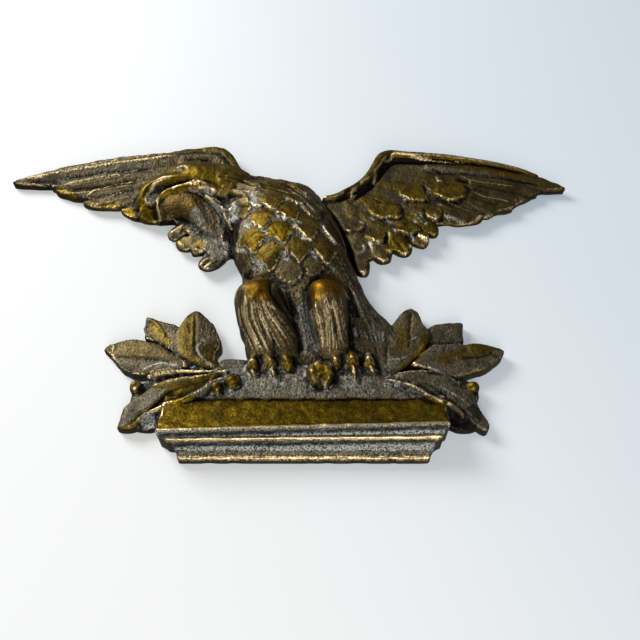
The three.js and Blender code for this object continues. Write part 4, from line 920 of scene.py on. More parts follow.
for x, z in (
    (-28.7, 3.3), (-25.5, 0.9), (-29.6, -10.4), (-21.1, -16.3), (-23.2, -31.9), (-21.2, -34.2), (-25.2, -34),
    (-10, -29.2), (-9.5, -32.1), (-14, -7.7), (-11.4, -9), (-3.5, -12.1), (-4.9, -14.8), (-1.2, -0.9),
    (8.4, -15), (3, -29.1), (4.5, -31), (13.1, -35.7), (-10.9, 6.1), (-31.2, -23.1), (-1.4, -21.5),
):
    tint([(x - 0.5, z - 0.6), (x + 0.5, z + 0.6)], 1.3, ends=(0.01, 0.01), pale=0.75, gold=0, dark=0)

# Right wing: braided rim, painted shadow in the hollow below it, quills and coverts with painted shadow at
# their ends
for points, depth, width, paint in (
    ([(16, 20.6), (22, 23.5)], -0.7, 1.1, dict(dark=0.85)),
    ([(80, 51), (95, 48.4), (110, 44), (122, 39)], -0.6, 1.6, dict(dark=0.45, gold=0.8, grey=0)),
    ([(12, 23.6), (18, 26.6), (23, 29)], 0.4, 0.6, BARE),
    ([(20, 24.4), (24, 28.8)], -0.7, 0.6, dict(dark=0.9)),
    ([(82, 38.4), (100, 34.4), (122, 31), (136, 28.9)], 0.5, 0.6, dict(worn=0.4)),
    ([(82.5, 36.4), (86, 34.6), (89.5, 33.8)], -1.0, 1.1, dict(dark=1)),
    ([(84, 40.6), (108, 36), (130, 30.8)], -0.5, 0.8, dict(dark=0.7)),
    ([(90, 28), (96, 24.2), (112, 21.4), (121, 22)], 0.5, 0.7, dict(worn=0.4, gold=0.6)),
    ([(92, 32), (116, 25), (122, 24.6)], -0.35, 1.2, dict(gold=0.5, dark=0.4)),
    ([(71, 17.4), (78, 13.8), (85, 13.4), (92, 12.2)], 0.4, 0.6, dict(worn=0.3)),
    ([(72, 11), (78, 9), (83, 6.4)], 0.4, 0.5, dict(pale=0.5)),
    ([(75, 10), (84, 7)], 0.3, 0.4, dict(pale=0.5)),
    ([(86, 20), (93, 14.8), (106, 15)], 0.35, 0.6, dict(worn=0.3)),
    ([(88, 23), (96, 19.8), (104, 18)], -0.4, 0.9, dict(dark=0.4)),
    ([(67, 5), (74, 5), (80, 5), (87, 6.6), (92, 9.2), (96, 11.4), (104, 12.4), (108, 14.8)], 0.45, 0.7,
     dict(worn=0.7, gold=0.8, grey=0)),
    ([(110, 20.4), (123, 22.4)], 0.4, 0.6, dict(worn=0.45, gold=0.8)),
    ([(69.6, 44.2), (74.6, 40.6)], -0.7, 0.7, dict(dark=0.95)),
    ([(63.8, 31.6), (64.8, 23)], -1.0, 0.8, dict(dark=0.95)),
    ([(88.6, 29.8), (87.6, 26.6), (85.4, 24)], -0.9, 0.8, dict(dark=0.95)),
    ([(50.6, 17), (50.8, 12.5), (50, 9)], -0.9, 0.7, dict(dark=0.9)),
    ([(62.4, 14), (63.4, 10.6), (62, 8.4)], -0.7, 0.7, dict(dark=0.8)),
    ([(41.6, -2), (42, -6), (40, -9.6)], -0.7, 0.7, dict(dark=0.8)),
    ([(28.4, -10), (28.8, -14.4), (25.4, -16.6)], -0.6, 0.6, dict(pale=0.5)),
    ([(35.5, 22), (38, 19.6), (40.6, 18.2)], -0.5, 0.5, dict(dark=0.6)),
    ([(46, -7.4), (51, -13)], -0.5, 0.5, dict(dark=0.5)),
    ([(37.5, -14.6), (39, -18.6), (39.6, -22)], 0.35, 0.5, dict(worn=0.5)),
    ([(33, -17), (35, -21.4), (37.6, -24.2)], 0.35, 0.6, dict(worn=0.3)),
    ([(42.5, -14), (51.6, -17.8)], 0.7, 0.8, dict(worn=1)),
    ([(52.7, -11.2), (57, -13), (61.4, -11.2)], 0.6, 0.8, dict(worn=0.7)),
    ([(57.4, -3.2), (62.8, -5.7), (67, -4.6)], 0.6, 0.8, dict(worn=0.9)),
    ([(28, -26.4), (29.4, -29)], 0.6, 1.0, BARE), ([(67.8, 35.2), (75, 33.6)], 0.3, 1.2, dict(worn=0.6)),
):
    stroke(points, depth, width, AT_RIGHT, **paint)
tint([(45.5, 48.9), (48.5, 50.9), (60.3, 51.2), (79.8, 49.2), (101.5, 44.2)], 2.0, gold=0.8, warm=0.35,
    grey=0, rough=0.3, dark=0.1)
# The rim's shadow on the hollow below it is painted black.
stroke([(23, 20.1), (26.3, 21.9), (33.1, 28.3), (35.9, 32.1), (43.1, 44), (48.4, 49.2), (58.6, 49.4),
    (79.8, 47.9), (90.8, 46)], -1.3, 1.2, ends=(0.05, 0.3), dark=0.95, gold=0.2, warm=0.3)
for points, depth, width, wear in (
    ([(23.6, 21.9), (24.2, 24.8), (26.4, 26.7), (28.6, 27.1)], 0.5, 0.7, 0.9),
    ([(23.5, 19.7), (26.9, 25.2)], 0.6, 0.8, 0.7),
    ([(29.2, 29.3), (30.9, 31.9), (34.8, 34.6)], 0.6, 0.8, 0.9),
    ([(36.3, 31.8), (37.7, 38.7), (38.9, 40.7)], 0.8, 1.1, 1.0),
    ([(39.6, 43.4), (40.3, 46.1), (44.3, 48.9), (49, 52.9), (51.8, 53.1), (63, 51.6), (85.1, 48.8),
     (95.9, 46.5)], 0.5, 0.6, 0.9),
):
    stroke(points, depth, width, ends=(0.12, 0.3), worn=wear, gold=0.8, dark=0, grey=0)
strands([[(82, 53), (86, 45)], [(95, 51), (99, 43)], [(108, 47), (112, 39)], [(120, 42), (123, 36)]], 44,
    0.22, 0.5, AT_RIGHT, 51, ends=(0.25, 0.25), worn=0.45)
strands([[(46, 50), (48, 42)], [(60, 51), (61, 44)], [(80, 48), (83, 41)]], 30, 0.14, 0.5, AT_RIGHT, 52,
    ends=(0.3, 0.3), pale=0.1)
strands([[(84, 43), (100, 40), (116, 36)], [(82, 40), (100, 36.6), (118, 32.6)]], 6, 0.2, 0.5, AT_RIGHT, 53,
    worn=0.3)
for x, z, size in (
    (59, 7, 2.2), (60.5, 9.5, 1.6), (57, 5, 1.2), (62.6, 4, 1.0), (34.6, 6.6, 1.3), (28.6, 4, 1.3),
    (43, 5, 1.6), (46, -1, 1.5), (33, -10.6, 1.8), (37, -9.6, 1.2), (42.6, -3, 1.3), (55, -4.6, 1.4),
    (68, 10.4, 1.2), (52.4, 21.6, 1.4), (71, 16.6, 0.9), (29, -11.6, 1.2), (75, 9.6, 1.0), (66.4, 28.5, 1.2),
):
    tint([(x - 0.6, z - 0.4), (x + 0.6, z + 0.4)], size, AT_RIGHT, ends=(0.01, 0.01), pale=0.7)

# Painted shade down the breast's left side.
tint([(-39.5, -3), (-36.8, -17)], 2.2, dark=0.6)
tint([(-33, -23), (-29.6, -35)], 2.6, dark=0.45, warm=0.4)
neck_lines = [
    [(-23.5, 22.3), (-5.1, 15.6), (0.7, 10.4)], [(-27, 19.4), (-9.7, 13.4), (-4.5, 8.8)],
    [(-25.2, 14.2), (-10.5, 7.9), (-4.3, 2.3)],
]
for points in neck_lines:
    tint(points, 2.6, ends=(0.2, 0.35), gold=0.75, grey=0, warm=0.2, rough=0.3, pale=0)
strands(neck_lines, 11, 0.4, 0.5, None, 48, ends=(0.15, 0.2), worn=0.4)

# Legs: smooth caps, combed feathers, and the flank behind them
for cap, streak in (
    ([(-27.8, -37.5), (-21.2, -38), (-16.7, -41.2), (-15.9, -53.7), (-15.6, -57.8), (-11.9, -62.6),
     (-17.8, -59.5), (-23.8, -58.7), (-25.3, -54.7), (-26.9, -50.9)], [(-24, -47), (-17.6, -60)]),
    ([(1.7, -50.1), (1.9, -43.6), (3.5, -41.1), (10.2, -39.2), (16, -42.1), (17.1, -52.1), (17.5, -54.9),
     (15.2, -56.3), (9.6, -54.2), (6.4, -54.2), (5.5, -56.2), (4.6, -61.8), (2.7, -57.9)], [(6, -47),
     (10, -47.6), (13.6, -50.6)]),
):
    shade(cap, 0.2, soft=1.6, warm=0.9, gold=0.9, grey=0, rough=0)
    tint(streak, 3.4, ends=(0.2, 0.4), gold=1, warm=0.8, grey=0, worn=0.22)
# Painted shade along the upper edge of each cap.
for points in (
    [(-28.5, -43), (-25, -38.8), (-20, -38.2), (-16.4, -40)],
    [(2, -46), (3.4, -41), (8, -39), (14, -39.6), (17, -43)],
):
    tint(points, 1.3, dark=0.6)
for points, width in (
    ([(6.4, -53), (12.8, -53.6)], 2.6), ([(5.4, -55.5), (7, -58.5)], 1.6),
    ([(-29, -50), (-30, -44), (-28.3, -40)], 2.2), ([(-27.6, -54.5), (-20, -53.6)], 2.4),
):
    tint(points, width, ends=(0.2, 0.2), gold=1, warm=0.75, grey=0, rough=0)
# Painted shadow down the right side of the left thigh's cap.
stroke([(-15.6, -41), (-16.8, -46), (-14.8, -52), (-9, -62)], -1.6, 1.1, AT_LEG, dark=1, warm=0)
stroke([(-14, -42), (-12, -49), (-9, -56), (-6, -63)], -0.6, 1.2, AT_LEG, dark=0.8, warm=0)
strands([[(-29.4, -48.5), (-31.3, -58.2), (-30.7, -62.5), (-28.4, -68.2), (-25.2, -75.7), (-22.3, -82.8),
    (-20.6, -88.5)], [(-26.4, -53.5), (-26.1, -62.8), (-25.2, -67.5), (-22.2, -73.3), (-19.8, -78),
    (-17.6, -82.5), (-16.3, -86.1)], [(-22.8, -55.2), (-21.8, -63.9), (-20, -68.5), (-17.6, -73.3),
    (-15.2, -78), (-13, -82.5), (-11.7, -86.1)], [(-20.4, -55.4), (-17.2, -63.8), (-14.5, -67.8),
    (-11.3, -71.9), (-8.1, -76.2), (-5.2, -80.3), (-3.5, -83.6)], [(-17.8, -55.2), (-12.7, -63.3),
    (-9.6, -66.5), (-6.4, -69.9), (-3.7, -73.1), (-1.3, -76.1), (0.1, -78.5)]], 27, 0.55, 0.43, None, 61,
    ends=(0.16, 0.3), worn=0.95, warm=0.25)
strands([[(3.2, -57.6), (4.1, -62.3), (5.5, -67.1), (6.9, -72.4), (7.8, -77.1), (8.6, -81.6), (9.1, -85.2)],
    [(5.8, -57), (7.8, -63.1), (9.2, -68.1), (9.6, -73.2), (9.6, -77.7), (9.6, -82), (9.6, -85.4)], [(9, -56),
    (11, -62.6), (11.9, -67.5), (12.3, -72.5), (12.3, -77.6), (12.3, -82.4), (12.3, -86.2)], [(12.2, -54.8),
    (14.2, -62.2), (15.1, -67.1), (16, -72.1), (17.3, -76.1), (18.5, -79.9), (19.2, -82.9)], [(15.2, -52),
    (17, -59.3), (17.9, -64.2), (18.8, -68.8), (19.2, -74.2), (19.6, -79.3), (19.8, -83.4)]], 25, 0.55, 0.43,
    None, 62, ends=(0.16, 0.3), worn=0.95, warm=0.25)
for points, amount in (
    ([(-17.3, -59.5), (-13.2, -63.4)], 1.1), ([(-18.6, -63.4), (-10.8, -71.3), (-8.1, -74.8)], 1.1),
    ([(-17.7, -63), (-9.5, -71.1)], 0.8), ([(-20, -65.3), (-18.1, -68.2), (-15.7, -75.5)], 1.1),
    ([(-22.8, -59.7), (-17.6, -69.9)], 0.8), ([(-29.7, -60.6), (-25.2, -72)], 0.8),
    ([(-25.6, -62.2), (-24.2, -66.4), (-19.4, -76)], 0.7),
    ([(11.9, -57.1), (12.8, -61.2), (15.5, -69.1), (16.4, -73.3)], 1.2),
    ([(15.1, -57.8), (18.8, -73.1)], 1.0), ([(9.6, -60), (11.9, -68.3), (12.3, -72.9)], 0.9),
    ([(6.4, -55.6), (7.8, -63.5)], 0.6), ([(13.8, -57.8), (15.6, -65.3)], 0.9),
):
    stroke(points, 0.5 * amount, 0.4, ends=(0.3, 0.2), worn=0.8 * amount, dark=0)
for points in (
    [(-15.4, -49.8), (-13.4, -55), (-11, -59.3), (-2.8, -69.7)], [(-12.8, -49), (-6.1, -62.5)],
    [(1.7, -51.4), (2.7, -61.2)], [(11.9, -61.7), (13.7, -69.9), (14.1, -74.2)],
    [(18.5, -52.2), (20, -56.6), (20.8, -67.4)],
):
    stroke(points, -0.9, 0.8, ends=(0.15, 0.15), dark=0.9, warm=0)
# Grooves down the sides of the legs and flank, painted with shade.
for points in (
    [(20, -44), (22.6, -51), (23.6, -58), (25, -64)], [(-33.6, -56), (-33, -66), (-29.4, -76)],
    [(21, -63), (20.6, -73), (21.6, -82)], [(-14.5, -74), (-12.6, -86)],
    [(-4.6, -64), (-2.4, -73), (-1, -82)], [(1.4, -44), (1.2, -52), (2.6, -60)],
):
    stroke(points, -1.2, 1.0, AT_LEG, dark=0.95, warm=0)
strands([[(-6, -56), (-4, -66), (-1.5, -76), (0.5, -85)], [(0, -50), (1.6, -62), (3.4, -74), (5.5, -84)],
    [(3.5, -64), (5.5, -72), (7.5, -80), (8, -85)]], 14, 0.32, 0.5, AT_LEG, 63, pale=0.3)
strands([[(21.5, -44), (24.4, -54), (27.6, -64), (31, -74)], [(22.4, -36), (26, -48), (30.6, -59), (36, -69)],
    [(23, -32), (28, -46), (34, -58), (40, -67)]], 13, 0.4, 0.6, AT_LEG, 64, worn=0.25, pale=0.2)
strands([[(22, -68), (24, -76)], [(30, -72), (33, -80)], [(37, -70), (36, -80)]], 14, 0.25, 0.6, AT_LEG, 65,
    pale=0.45)

# Leaves: halves, veins, turned edges, and painted shade in their grooves and in the hollows beside the shelf
for outline, depth, slope, paint in (
    ([(-53.7, -52.9), (-56.2, -54.4), (-60, -64), (-58.9, -73.8), (-57.5, -77.8), (-54.6, -80.6),
     (-51.8, -76.7), (-52.1, -72.7)], 0, (0.03, 0), dict(gold=0.6, grey=0.1, rough=0.3, dark=0.3)),
    ([(-52.7, -53), (-49.3, -55.1), (-44, -60.9), (-40.6, -68.8), (-39.8, -72.3), (-40.8, -75.1),
     (-42.6, -81.2), (-48.5, -77.6), (-51.2, -69.9)], -0.4, (-0.12, 0.0), dict(grey=0.4, rough=0.8, gold=0.3,
     dark=0.25)),
    ([(-48, -72.8), (-45.3, -71.6), (-42.5, -71.7), (-40.4, -74.5), (-41.2, -79), (-40.2, -82.3),
     (-38.6, -85), (-44.2, -83.4), (-48.9, -76.2)], 0, (-0.04, 0), dict(gold=0.6, grey=0.1, rough=0.3,
     dark=0.3)),
    ([(-76.8, -55.6), (-73.7, -58.1), (-68.6, -63.9), (-66.7, -67.2), (-68.4, -68.9), (-75.4, -66.9),
     (-75.5, -64.6), (-76.5, -62.2)], -0.4, (0.05, -0.03), dict(grey=0.5, rough=0.8, dark=0.12)),
    ([(-91.7, -71.7), (-82.4, -69), (-67.5, -72.9), (-63.3, -76.5), (-60.1, -79.4), (-64.3, -80.2),
     (-78.6, -78.9), (-84.9, -77.6), (-89.2, -75.2)], 0.3, (0, -0.05), dict(worn=0.2, rough=0.5, grey=0.25,
     gold=0.4)),
    ([(-92, -75.5), (-87.7, -78), (-80.8, -79.5), (-62.7, -81.3), (-56.9, -83.3), (-62.6, -81.9),
     (-71.8, -83.1), (-77.8, -87.1), (-85.5, -82.9)], -0.2, (0, 0.08), dict(grey=0.5, gold=0.2, rough=0.6)),
    ([(-81.3, -113), (-78.9, -104.2), (-72.9, -98.5), (-69.6, -95.7), (-61.3, -96.6), (-62.9, -98.7),
     (-67.3, -103.8), (-72.2, -107.6), (-76.9, -112.5), (-79.4, -113.6)], 0.2, (0.05, -0.05),
     dict(grey=0.9, rough=0.8)),
    ([(-60, -96.4), (-44.5, -92.1), (-42.3, -91.7), (-43.4, -94.4), (-50.6, -99.8), (-67, -106),
     (-69.2, -106.6), (-66, -103.4)], -0.7, (0, 0.05), dict(gold=0.85, dark=0.2, grey=0, rough=0)),
    ([(-72.9, -109.9), (-68.5, -106.7), (-66.7, -106.4), (-65.3, -113.7), (-69.6, -114.2)], 0, (0, 0),
     dict(grey=1, rough=1, pale=0.55, dark=0.1)),
    ([(37.2, -80), (40, -79.4), (43.6, -80.5), (43, -83.2), (40.5, -86.5), (36.8, -87.6)], -0.1, (0, 0),
     dict(grey=0.75, rough=0.5, gold=0)),
    ([(77, -71.5), (81.8, -71.2), (90.9, -73.9), (85.5, -75.1), (81.9, -77.2), (78.1, -77.4), (76.1, -75.1)],
     0.2, (0, -0.04), dict(gold=0.65, worn=0.15, grey=0, rough=0.3)),
    ([(74.9, -80.8), (80.6, -80), (85.5, -78.6), (87.2, -80.1), (84.1, -82.4), (75, -83.8)], -0.3, (0, 0.05),
     dict(grey=0.6, rough=0.3, dark=0.25)),
    ([(38.2, -90.6), (42.8, -88.9), (54.3, -87.5), (59.3, -87.9), (55.5, -89.4), (51.7, -91.4), (42.6, -91.9),
     (39, -92.1)], 0.2, (0, 0), dict(worn=0.4, rough=0.8, grey=0.4)),
    ([(64.9, -103.2), (69.6, -105.7), (72.2, -109.6), (75.3, -113.5), (72.5, -114.7), (68.2, -114),
     (60.8, -113.7), (60.7, -109.6), (64, -107.9)], -0.2, (0, 0), dict(dark=0.92)),
):
    shade(outline, depth, slope, **paint)
for points, depth, width, paint in (
    ([(-53.1, -53.6), (-51.7, -69.9), (-50, -76.7), (-44.3, -82.6), (-40.9, -84.5)], -0.7, 0.5,
     dict(dark=0.75)),
    ([(-46.6, -68.5), (-50.1, -73.3), (-48.6, -78.2), (-43.3, -83.4), (-40.4, -85)], 0.4, 0.45,
     dict(pale=0.55, gold=0)),
    ([(-76, -55.7), (-70.6, -60), (-65.7, -68.1)], 0.5, 0.6, dict(gold=0.9, grey=0)),
    ([(-89.7, -77.8), (-85.8, -78.4), (-80, -78.5), (-73.7, -79.8), (-66.5, -80.8), (-59.2, -83.2)], -0.4,
     0.5, dict(dark=0.45)),
    ([(-94.2, -73.7), (-93.1, -71.9), (-90.9, -70.7), (-89.6, -72.4), (-90.1, -75.1), (-88, -79.6),
     (-90.8, -76.7)], 0.3, 0.7, dict(worn=0.6)),
    ([(-74.6, -86), (-68.5, -82.9), (-64.9, -82.5), (-55.3, -85.6)], 0.35, 0.45, dict(pale=0.6)),
    ([(-64.8, -93.6), (-59.5, -92.1), (-47.8, -90.6), (-41.5, -89.2)], 0.3, 1.1, dict(worn=0.55, rough=0.8)),
    ([(-69.3, -94.1), (-61.8, -95.8), (-52.1, -92.9), (-40.2, -89.3)], -0.2, 0.5, dict(gold=0.9, grey=0)),
    ([(-69.1, -106.8), (-63.5, -100.9), (-61.6, -97.8), (-60, -96.4)], -0.3, 0.5, dict(dark=0.4)),
    ([(-35.3, -88.2), (-38.9, -89.4), (-43.9, -94.8), (-49.3, -99.4), (-55.3, -101.8), (-65.1, -106.5),
     (-68, -107.1), (-70.7, -108.9), (-74.5, -113.2), (-81.4, -113.5)], 0.6, 0.6, dict(gold=1, grey=0,
     rough=0, worn=0.42)),
    ([(-64.3, -105.9), (-62.1, -105.6), (-57, -103)], 0.2, 0.8, dict(worn=0.95)),
    ([(51, -52.7), (49.2, -64), (49, -69.8), (47.7, -75.5)], -0.6, 0.6, dict(dark=0.7)),
    ([(57.7, -64.8), (57.3, -68.5), (55.9, -72), (51.6, -78.5), (45.2, -84.3), (41.4, -86.5)], 0.5, 0.9,
     dict(gold=1, grey=0, rough=0)),
    ([(37.9, -67.6), (38.1, -72.8), (37.6, -76.7), (37.9, -80), (36.7, -84.4)], -0.4, 0.6, dict(dark=0.6)),
    ([(39.5, -67.6), (41, -70.7)], 0.3, 0.35, dict(pale=0.5)),
    ([(52.5, -67.7), (48, -70.4)], 0.3, 0.35, dict(pale=0.4)),
    ([(39.4, -80.8), (43.6, -80.4), (47.4, -78.8)], 0.3, 0.35, dict(pale=0.4)),
    ([(58.1, -81.8), (64.1, -82), (78.4, -79.4), (82.7, -78.7), (89.4, -74.9)], 0.4, 0.45,
     dict(gold=0.9, grey=0)),
    ([(71.3, -80), (75.1, -79.1), (82.8, -78), (88, -74.6)], -0.7, 0.55, dict(dark=0.95)),
    ([(62.6, -78.3), (66.1, -73.8)], -0.4, 0.5, dict(dark=0.5)),
    ([(72.6, -76.7), (76, -73.5)], -0.4, 0.5, dict(dark=0.5)),
    ([(71.3, -88), (82.4, -84.7)], 0.4, 0.5, dict(gold=1, worn=0.4)),
    ([(84.7, -81.3), (89.9, -79.4)], 0.4, 0.6, dict(worn=0.6, gold=0.8)),
    ([(55.5, -85.1), (58.2, -85.6), (62.6, -87.3)], 0.3, 0.4, dict(pale=0.5)),
    ([(55.6, -88.7), (58, -88), (61.2, -87.9)], -0.6, 0.5, dict(dark=0.95)),
    ([(41, -88.8), (48.3, -87.7), (55.6, -87.3), (58.4, -87.7)], 0.4, 0.6, dict(worn=0.62, gold=0.6)),
    ([(36.3, -93), (40.3, -92.9), (45.2, -94), (48.7, -95.9), (58.4, -103.2), (62.8, -103.5), (65, -104.6),
     (68.9, -105.9)], 0.7, 0.55, dict(gold=1, grey=0, rough=0, worn=0.5)),
    ([(55.4, -101.4), (59.7, -103.5), (62.9, -103.1), (65.5, -104.2)], 0.2, 0.8, dict(worn=0.95, gold=1)),
    ([(68.9, -106), (75.2, -113), (77.7, -114.8)], 0.2, 0.5, dict(gold=0.3, worn=0.2)),
    ([(50.6, -93.9), (54.1, -95.9), (60, -100.7)], -0.5, 0.6, dict(dark=0.6)),
    ([(60.5, -94.8), (71.5, -101.8)], 0.3, 0.4, dict(pale=0.4)),
    ([(53.4, -92.5), (58.6, -96.2), (66.9, -103.3)], -0.5, 0.7, dict(dark=0.55)),
    ([(71.1, -105.7), (77.1, -112.4)], 0.4, 0.5, dict(pale=0.5)),
    ([(64.4, -91.4), (68, -92.2), (68.7, -94.2)], -0.5, 0.6, dict(dark=0.75)),
    ([(66.4, -90.3), (69.1, -93.1)], 0.3, 0.5, dict(gold=0.9, pale=0.2)),
    ([(55.1, -88.2), (61, -88.8), (63.8, -88.6)], -0.5, 0.5, dict(dark=0.85)),
    ([(66, -94.1), (69.2, -94.1), (71.4, -95)], -0.5, 0.5, dict(dark=0.85)),
    ([(-40.4, -87.4), (-56.6, -87), (-63.5, -87.3), (-70.6, -89.2)], 0.25, 0.9, dict(worn=0.55, rough=0.8)),
    ([(-53.9, -53.6), (-52.2, -74.2)], 0.5, 0.6, dict(gold=1, worn=0.4)),
):
    stroke(points, depth, width, **paint)

# Toes: bright arches with painted shadow beside them, the nut's seams and the painted shadow right of and
# below it, berries
for _, (x, z), (claw_x, claw_z), width in TOES:
    r = 0.42 * width
    stroke([(x - r, z - 1.8), (x - 0.5 * r, z + 0.5), (x, z + 1.2), (x + 0.6 * r, z + 0.3), (x + r, z - 2)],
        0.4, 0.5, AT_TOES, worn=0.75, gold=1)
    stroke([(x - 0.4, z - 0.6), (x + 0.1, z - 2.6)], -1.0, 0.8, AT_TOES, dark=0.8)
    stroke([(x - 0.2, z - 3), (0.5 * (x + claw_x) - 0.6, 0.5 * (z + claw_z) - 0.6), (claw_x - 0.5, claw_z +
        0.6)], 0.3, 0.45, AT_TOES, worn=0.5)
    stroke([(x + 0.4 * width, z - 2.4), (claw_x + 1.8, 0.5 * (z - 2 + claw_z)), (claw_x + 1, claw_z)], -0.8,
        0.8, AT_TOES, dark=0.8)
    stroke([(x + 0.5 * width, z + 3), (x + 0.62 * width, z), (x + 0.6 * width, z - 3)], -1.2, 1.2,
        (AT_TOES, 11), dark=1, gold=0, pale=0)
for points, depth, width, paint in (
    ([(8, -91.4), (6, -97.6)], -1.1, 0.8, dict(dark=0.9)),
    ([(5.6, -89.6), (8.6, -88.2), (11, -90), (11.4, -93.4), (10.2, -96.4)], 0.4, 0.6, dict(worn=0.6)),
    ([(6.8, -91), (6.4, -93)], 0.3, 0.6, dict(worn=0.6)),
    ([(2.6, -89.4), (4, -91.6)], 0.3, 1.6, dict(gold=1, worn=0.25)),
    ([(4, -97.4), (6.4, -98.6), (9, -98)], -0.6, 1.8, dict(dark=0.95)),
    ([(13.8, -89), (14.4, -94), (12.6, -98)], -1.2, 1.2, dict(dark=1)),
):
    stroke(points, depth, width, AT_NUT, **paint)
# Each berry gets a painted shadow on its right side.
for (x, z), radius, _, _ in BERRIES:
    stroke([(x + 0.5 * radius, z + radius), (x + 1.25 * radius, z), (x + 0.7 * radius, z - radius)], -0.8,
        0.9, dark=0.9, pale=0, gold=0)

# Ridges and golden margins of the wings and leaves
for points, depth, width, paint in (
    ([(88.1, 27.7), (95.3, 22.9), (104.4, 21.3), (111.8, 19.5)], 0.45, 0.5, dict(worn=0.9)),
    ([(81.5, 39.2), (88.9, 34.8), (98.1, 32.6), (117.3, 29.8)], 0.4, 0.5, dict(worn=0.75)),
    ([(73.4, 20.8), (82.1, 15.6), (94.4, 10.4)], 0.3, 0.5, dict(worn=0.6)),
    ([(76.2, 9.9), (84.8, 5.3)], 0.3, 0.45, dict(worn=0.5, pale=0.4)),
    ([(-138.0, 29.8), (-130.0, 33.1), (-99.5, 39.7), (-91.1, 42.0)], 0.4, 0.5, dict(worn=0.8)),
    ([(-123.4, 22.9), (-109.1, 30.4), (-98.5, 32.6), (-90.9, 34.8)], 0.4, 0.5, dict(worn=0.75)),
    ([(-113, 20.2), (-106, 24.0), (-98.5, 26.8), (-92, 28.4)], 0.35, 0.5, dict(worn=0.6)),
    ([(71.9, -87.7), (86.0, -84.7)], 0.3, 0.6, dict(gold=1, grey=0, worn=0.5)),
):
    stroke(points, depth, width, ends=(0.15, 0.2), **paint)
for points, width, paint in (
    ([(67.5, 6.6), (75.9, 5.3), (85.1, 7.0), (94.9, 11.6), (103.5, 13.1), (109.3, 15.7), (114.7, 20.9),
     (122.9, 23.6), (129.2, 28.3), (140.5, 30.0)], 0.7, dict(worn=0.8)),
    ([(55.0, 53.2), (69.0, 51.2), (107.2, 41.7), (126.1, 35.8)], 2.4, dict(gold=0.75, warm=0.55, rough=0.9,
     grey=0)),
    ([(54.6, 46.0), (90.9, 40.5), (117.1, 33.5)], 1.5, dict(grey=0.8, rough=0.9, worn=0.25)),
    ([(-119.8, 18.8), (-99.4, 17.0)], 1.3, dict(gold=1, warm=0.3, grey=0, rough=0)),
    ([(-137.5, 29.6), (-124.2, 21.7)], 1.3, dict(gold=1, warm=0.3, grey=0, rough=0)),
    ([(-145.8, 38.9), (-101.2, 50.8), (-58.8, 58.9)], 2.8, dict(worn=0.56, rough=1)),
    ([(47.3, -62.7), (43.7, -76.5)], 2.8, dict(gold=0.85, grey=0.1, rough=0.2)),
    ([(57.2, -66.5), (54.7, -73.8), (49.4, -82.8), (43.9, -85.8)], 1.9, dict(gold=0.95, grey=0, rough=0.1)),
    ([(58.7, -82.2), (66.7, -78.6), (76.2, -75.9), (83.8, -76.9)], 2.6, dict(gold=0.85, grey=0.1, warm=0.2,
     rough=0.3)),
    ([(-75.2, -58.5), (-61.9, -73.7)], 3.2, dict(gold=0.8, grey=0.1, rough=0.2)),
):
    tint(points, width, ends=(0.15, 0.2), **paint)

# Mound and shelf: moulding edges painted bright as wear and painted highlight, painted shade below them and
# below the mound's edge, and dust
for z, rise, mark, depth, width in (
    (-118.1, TILT, dict(worn=1, gold=1, grey=0, rough=0, pale=0), 0.15, 0.6),
    (-119.6, TILT, dict(dark=0.8, pale=0), -0.2, 0.5), (-121.3, TILT / 2, dict(dark=0.55, pale=0), -0.1, 0.4),
    (-122.1, TILT / 3, dict(worn=1, gold=0.8, grey=0, pale=0, rough=0, dark=0), 0.12, 0.5),
    (-123.2, TILT / 3, dict(dark=0.75, pale=0), -0.2, 0.45),
    (-127.5, 0, dict(worn=0.85, gold=0.6, grey=0.1, pale=0, rough=0), 0.1, 0.4),
):
    stroke([(x, z + rise * x / SHELF_WIDTH) for x in np.linspace(-61.5, 61.5, 9)], depth, width,
        ends=(0.01, 0.01), **mark)
stroke([(-50, -102.4), (50, -102.4)], -0.3, 0.4, ends=(0.02, 0.02), dark=0.7)
for x, z in np.random.default_rng(71).uniform((-44, -97), (46, -86), (46, 2)):
    tint([(x - 0.8, z), (x + 0.8, z + 0.5)], 1.1, ends=(0.01, 0.01), pale=0.35)

# Outline of the casting: gaps inside it are closed, and islands outside it are left out


def spread(start, allowed):
    """Part of a region that is joined to its start"""
    grown = start & allowed
    while True:
        wide = grown.copy()
        for axis, way in ((0, 1), (0, -1), (1, 1), (1, -1)):
            wide |= np.roll(wide, way, axis)
        wide &= allowed
        if wide.sum() == grown.sum():
            return grown
        grown = wide


middle = np.zeros(X.shape, bool)
middle[np.searchsorted(zs, 0), np.searchsorted(xs, 0)] = True
whole = spread(middle, IN > 0)
border = np.ones(X.shape, bool)
border[1:-1, 1:-1] = False
outside = spread(border, ~whole)
IN = np.where(whole, np.maximum(IN, 0.02), np.where(outside, np.minimum(IN, -0.02), 0.5))

# Sand grain, and a thin painted highlight along the lower edges
H = blur(np.where(IN > 0, H, SKIRT), 0.34)
facing_down = np.clip(np.gradient(IN, zs, axis=0), 0, 1)
lower_edge_highlight = facing_down * fall_off(IN - 0.9, 0.55) * (IN > 0)
PAINT["worn"] = np.maximum(PAINT["worn"], lower_edge_highlight * (0.62 + 0.12 * noise(7, seed=35)))
sand = noise(1.3, seed=31) * 0.045 + noise(0.95, 3.6, seed=32) * 0.05
H = np.maximum(H + sand * (0.25 + 1.1 * PAINT["rough"]) + 0.07 * noise(5, seed=33), 2.6)
MASKS = {"cavity": H - blur(H, 0.9), "hollow": H - blur(H, 2.6), **PAINT}

# The rim is rounded off, further down where the metal is thicker
EDGE = 0.9
drop = np.clip(0.35 * (blur(H, 1.2) - 2.4), 0.8, 2.0)
near_rim = np.clip(1 - np.clip(IN, 0, EDGE) / EDGE, 0, 1)
surface = H - drop * (1 - np.sqrt(1 - near_rim ** 2))

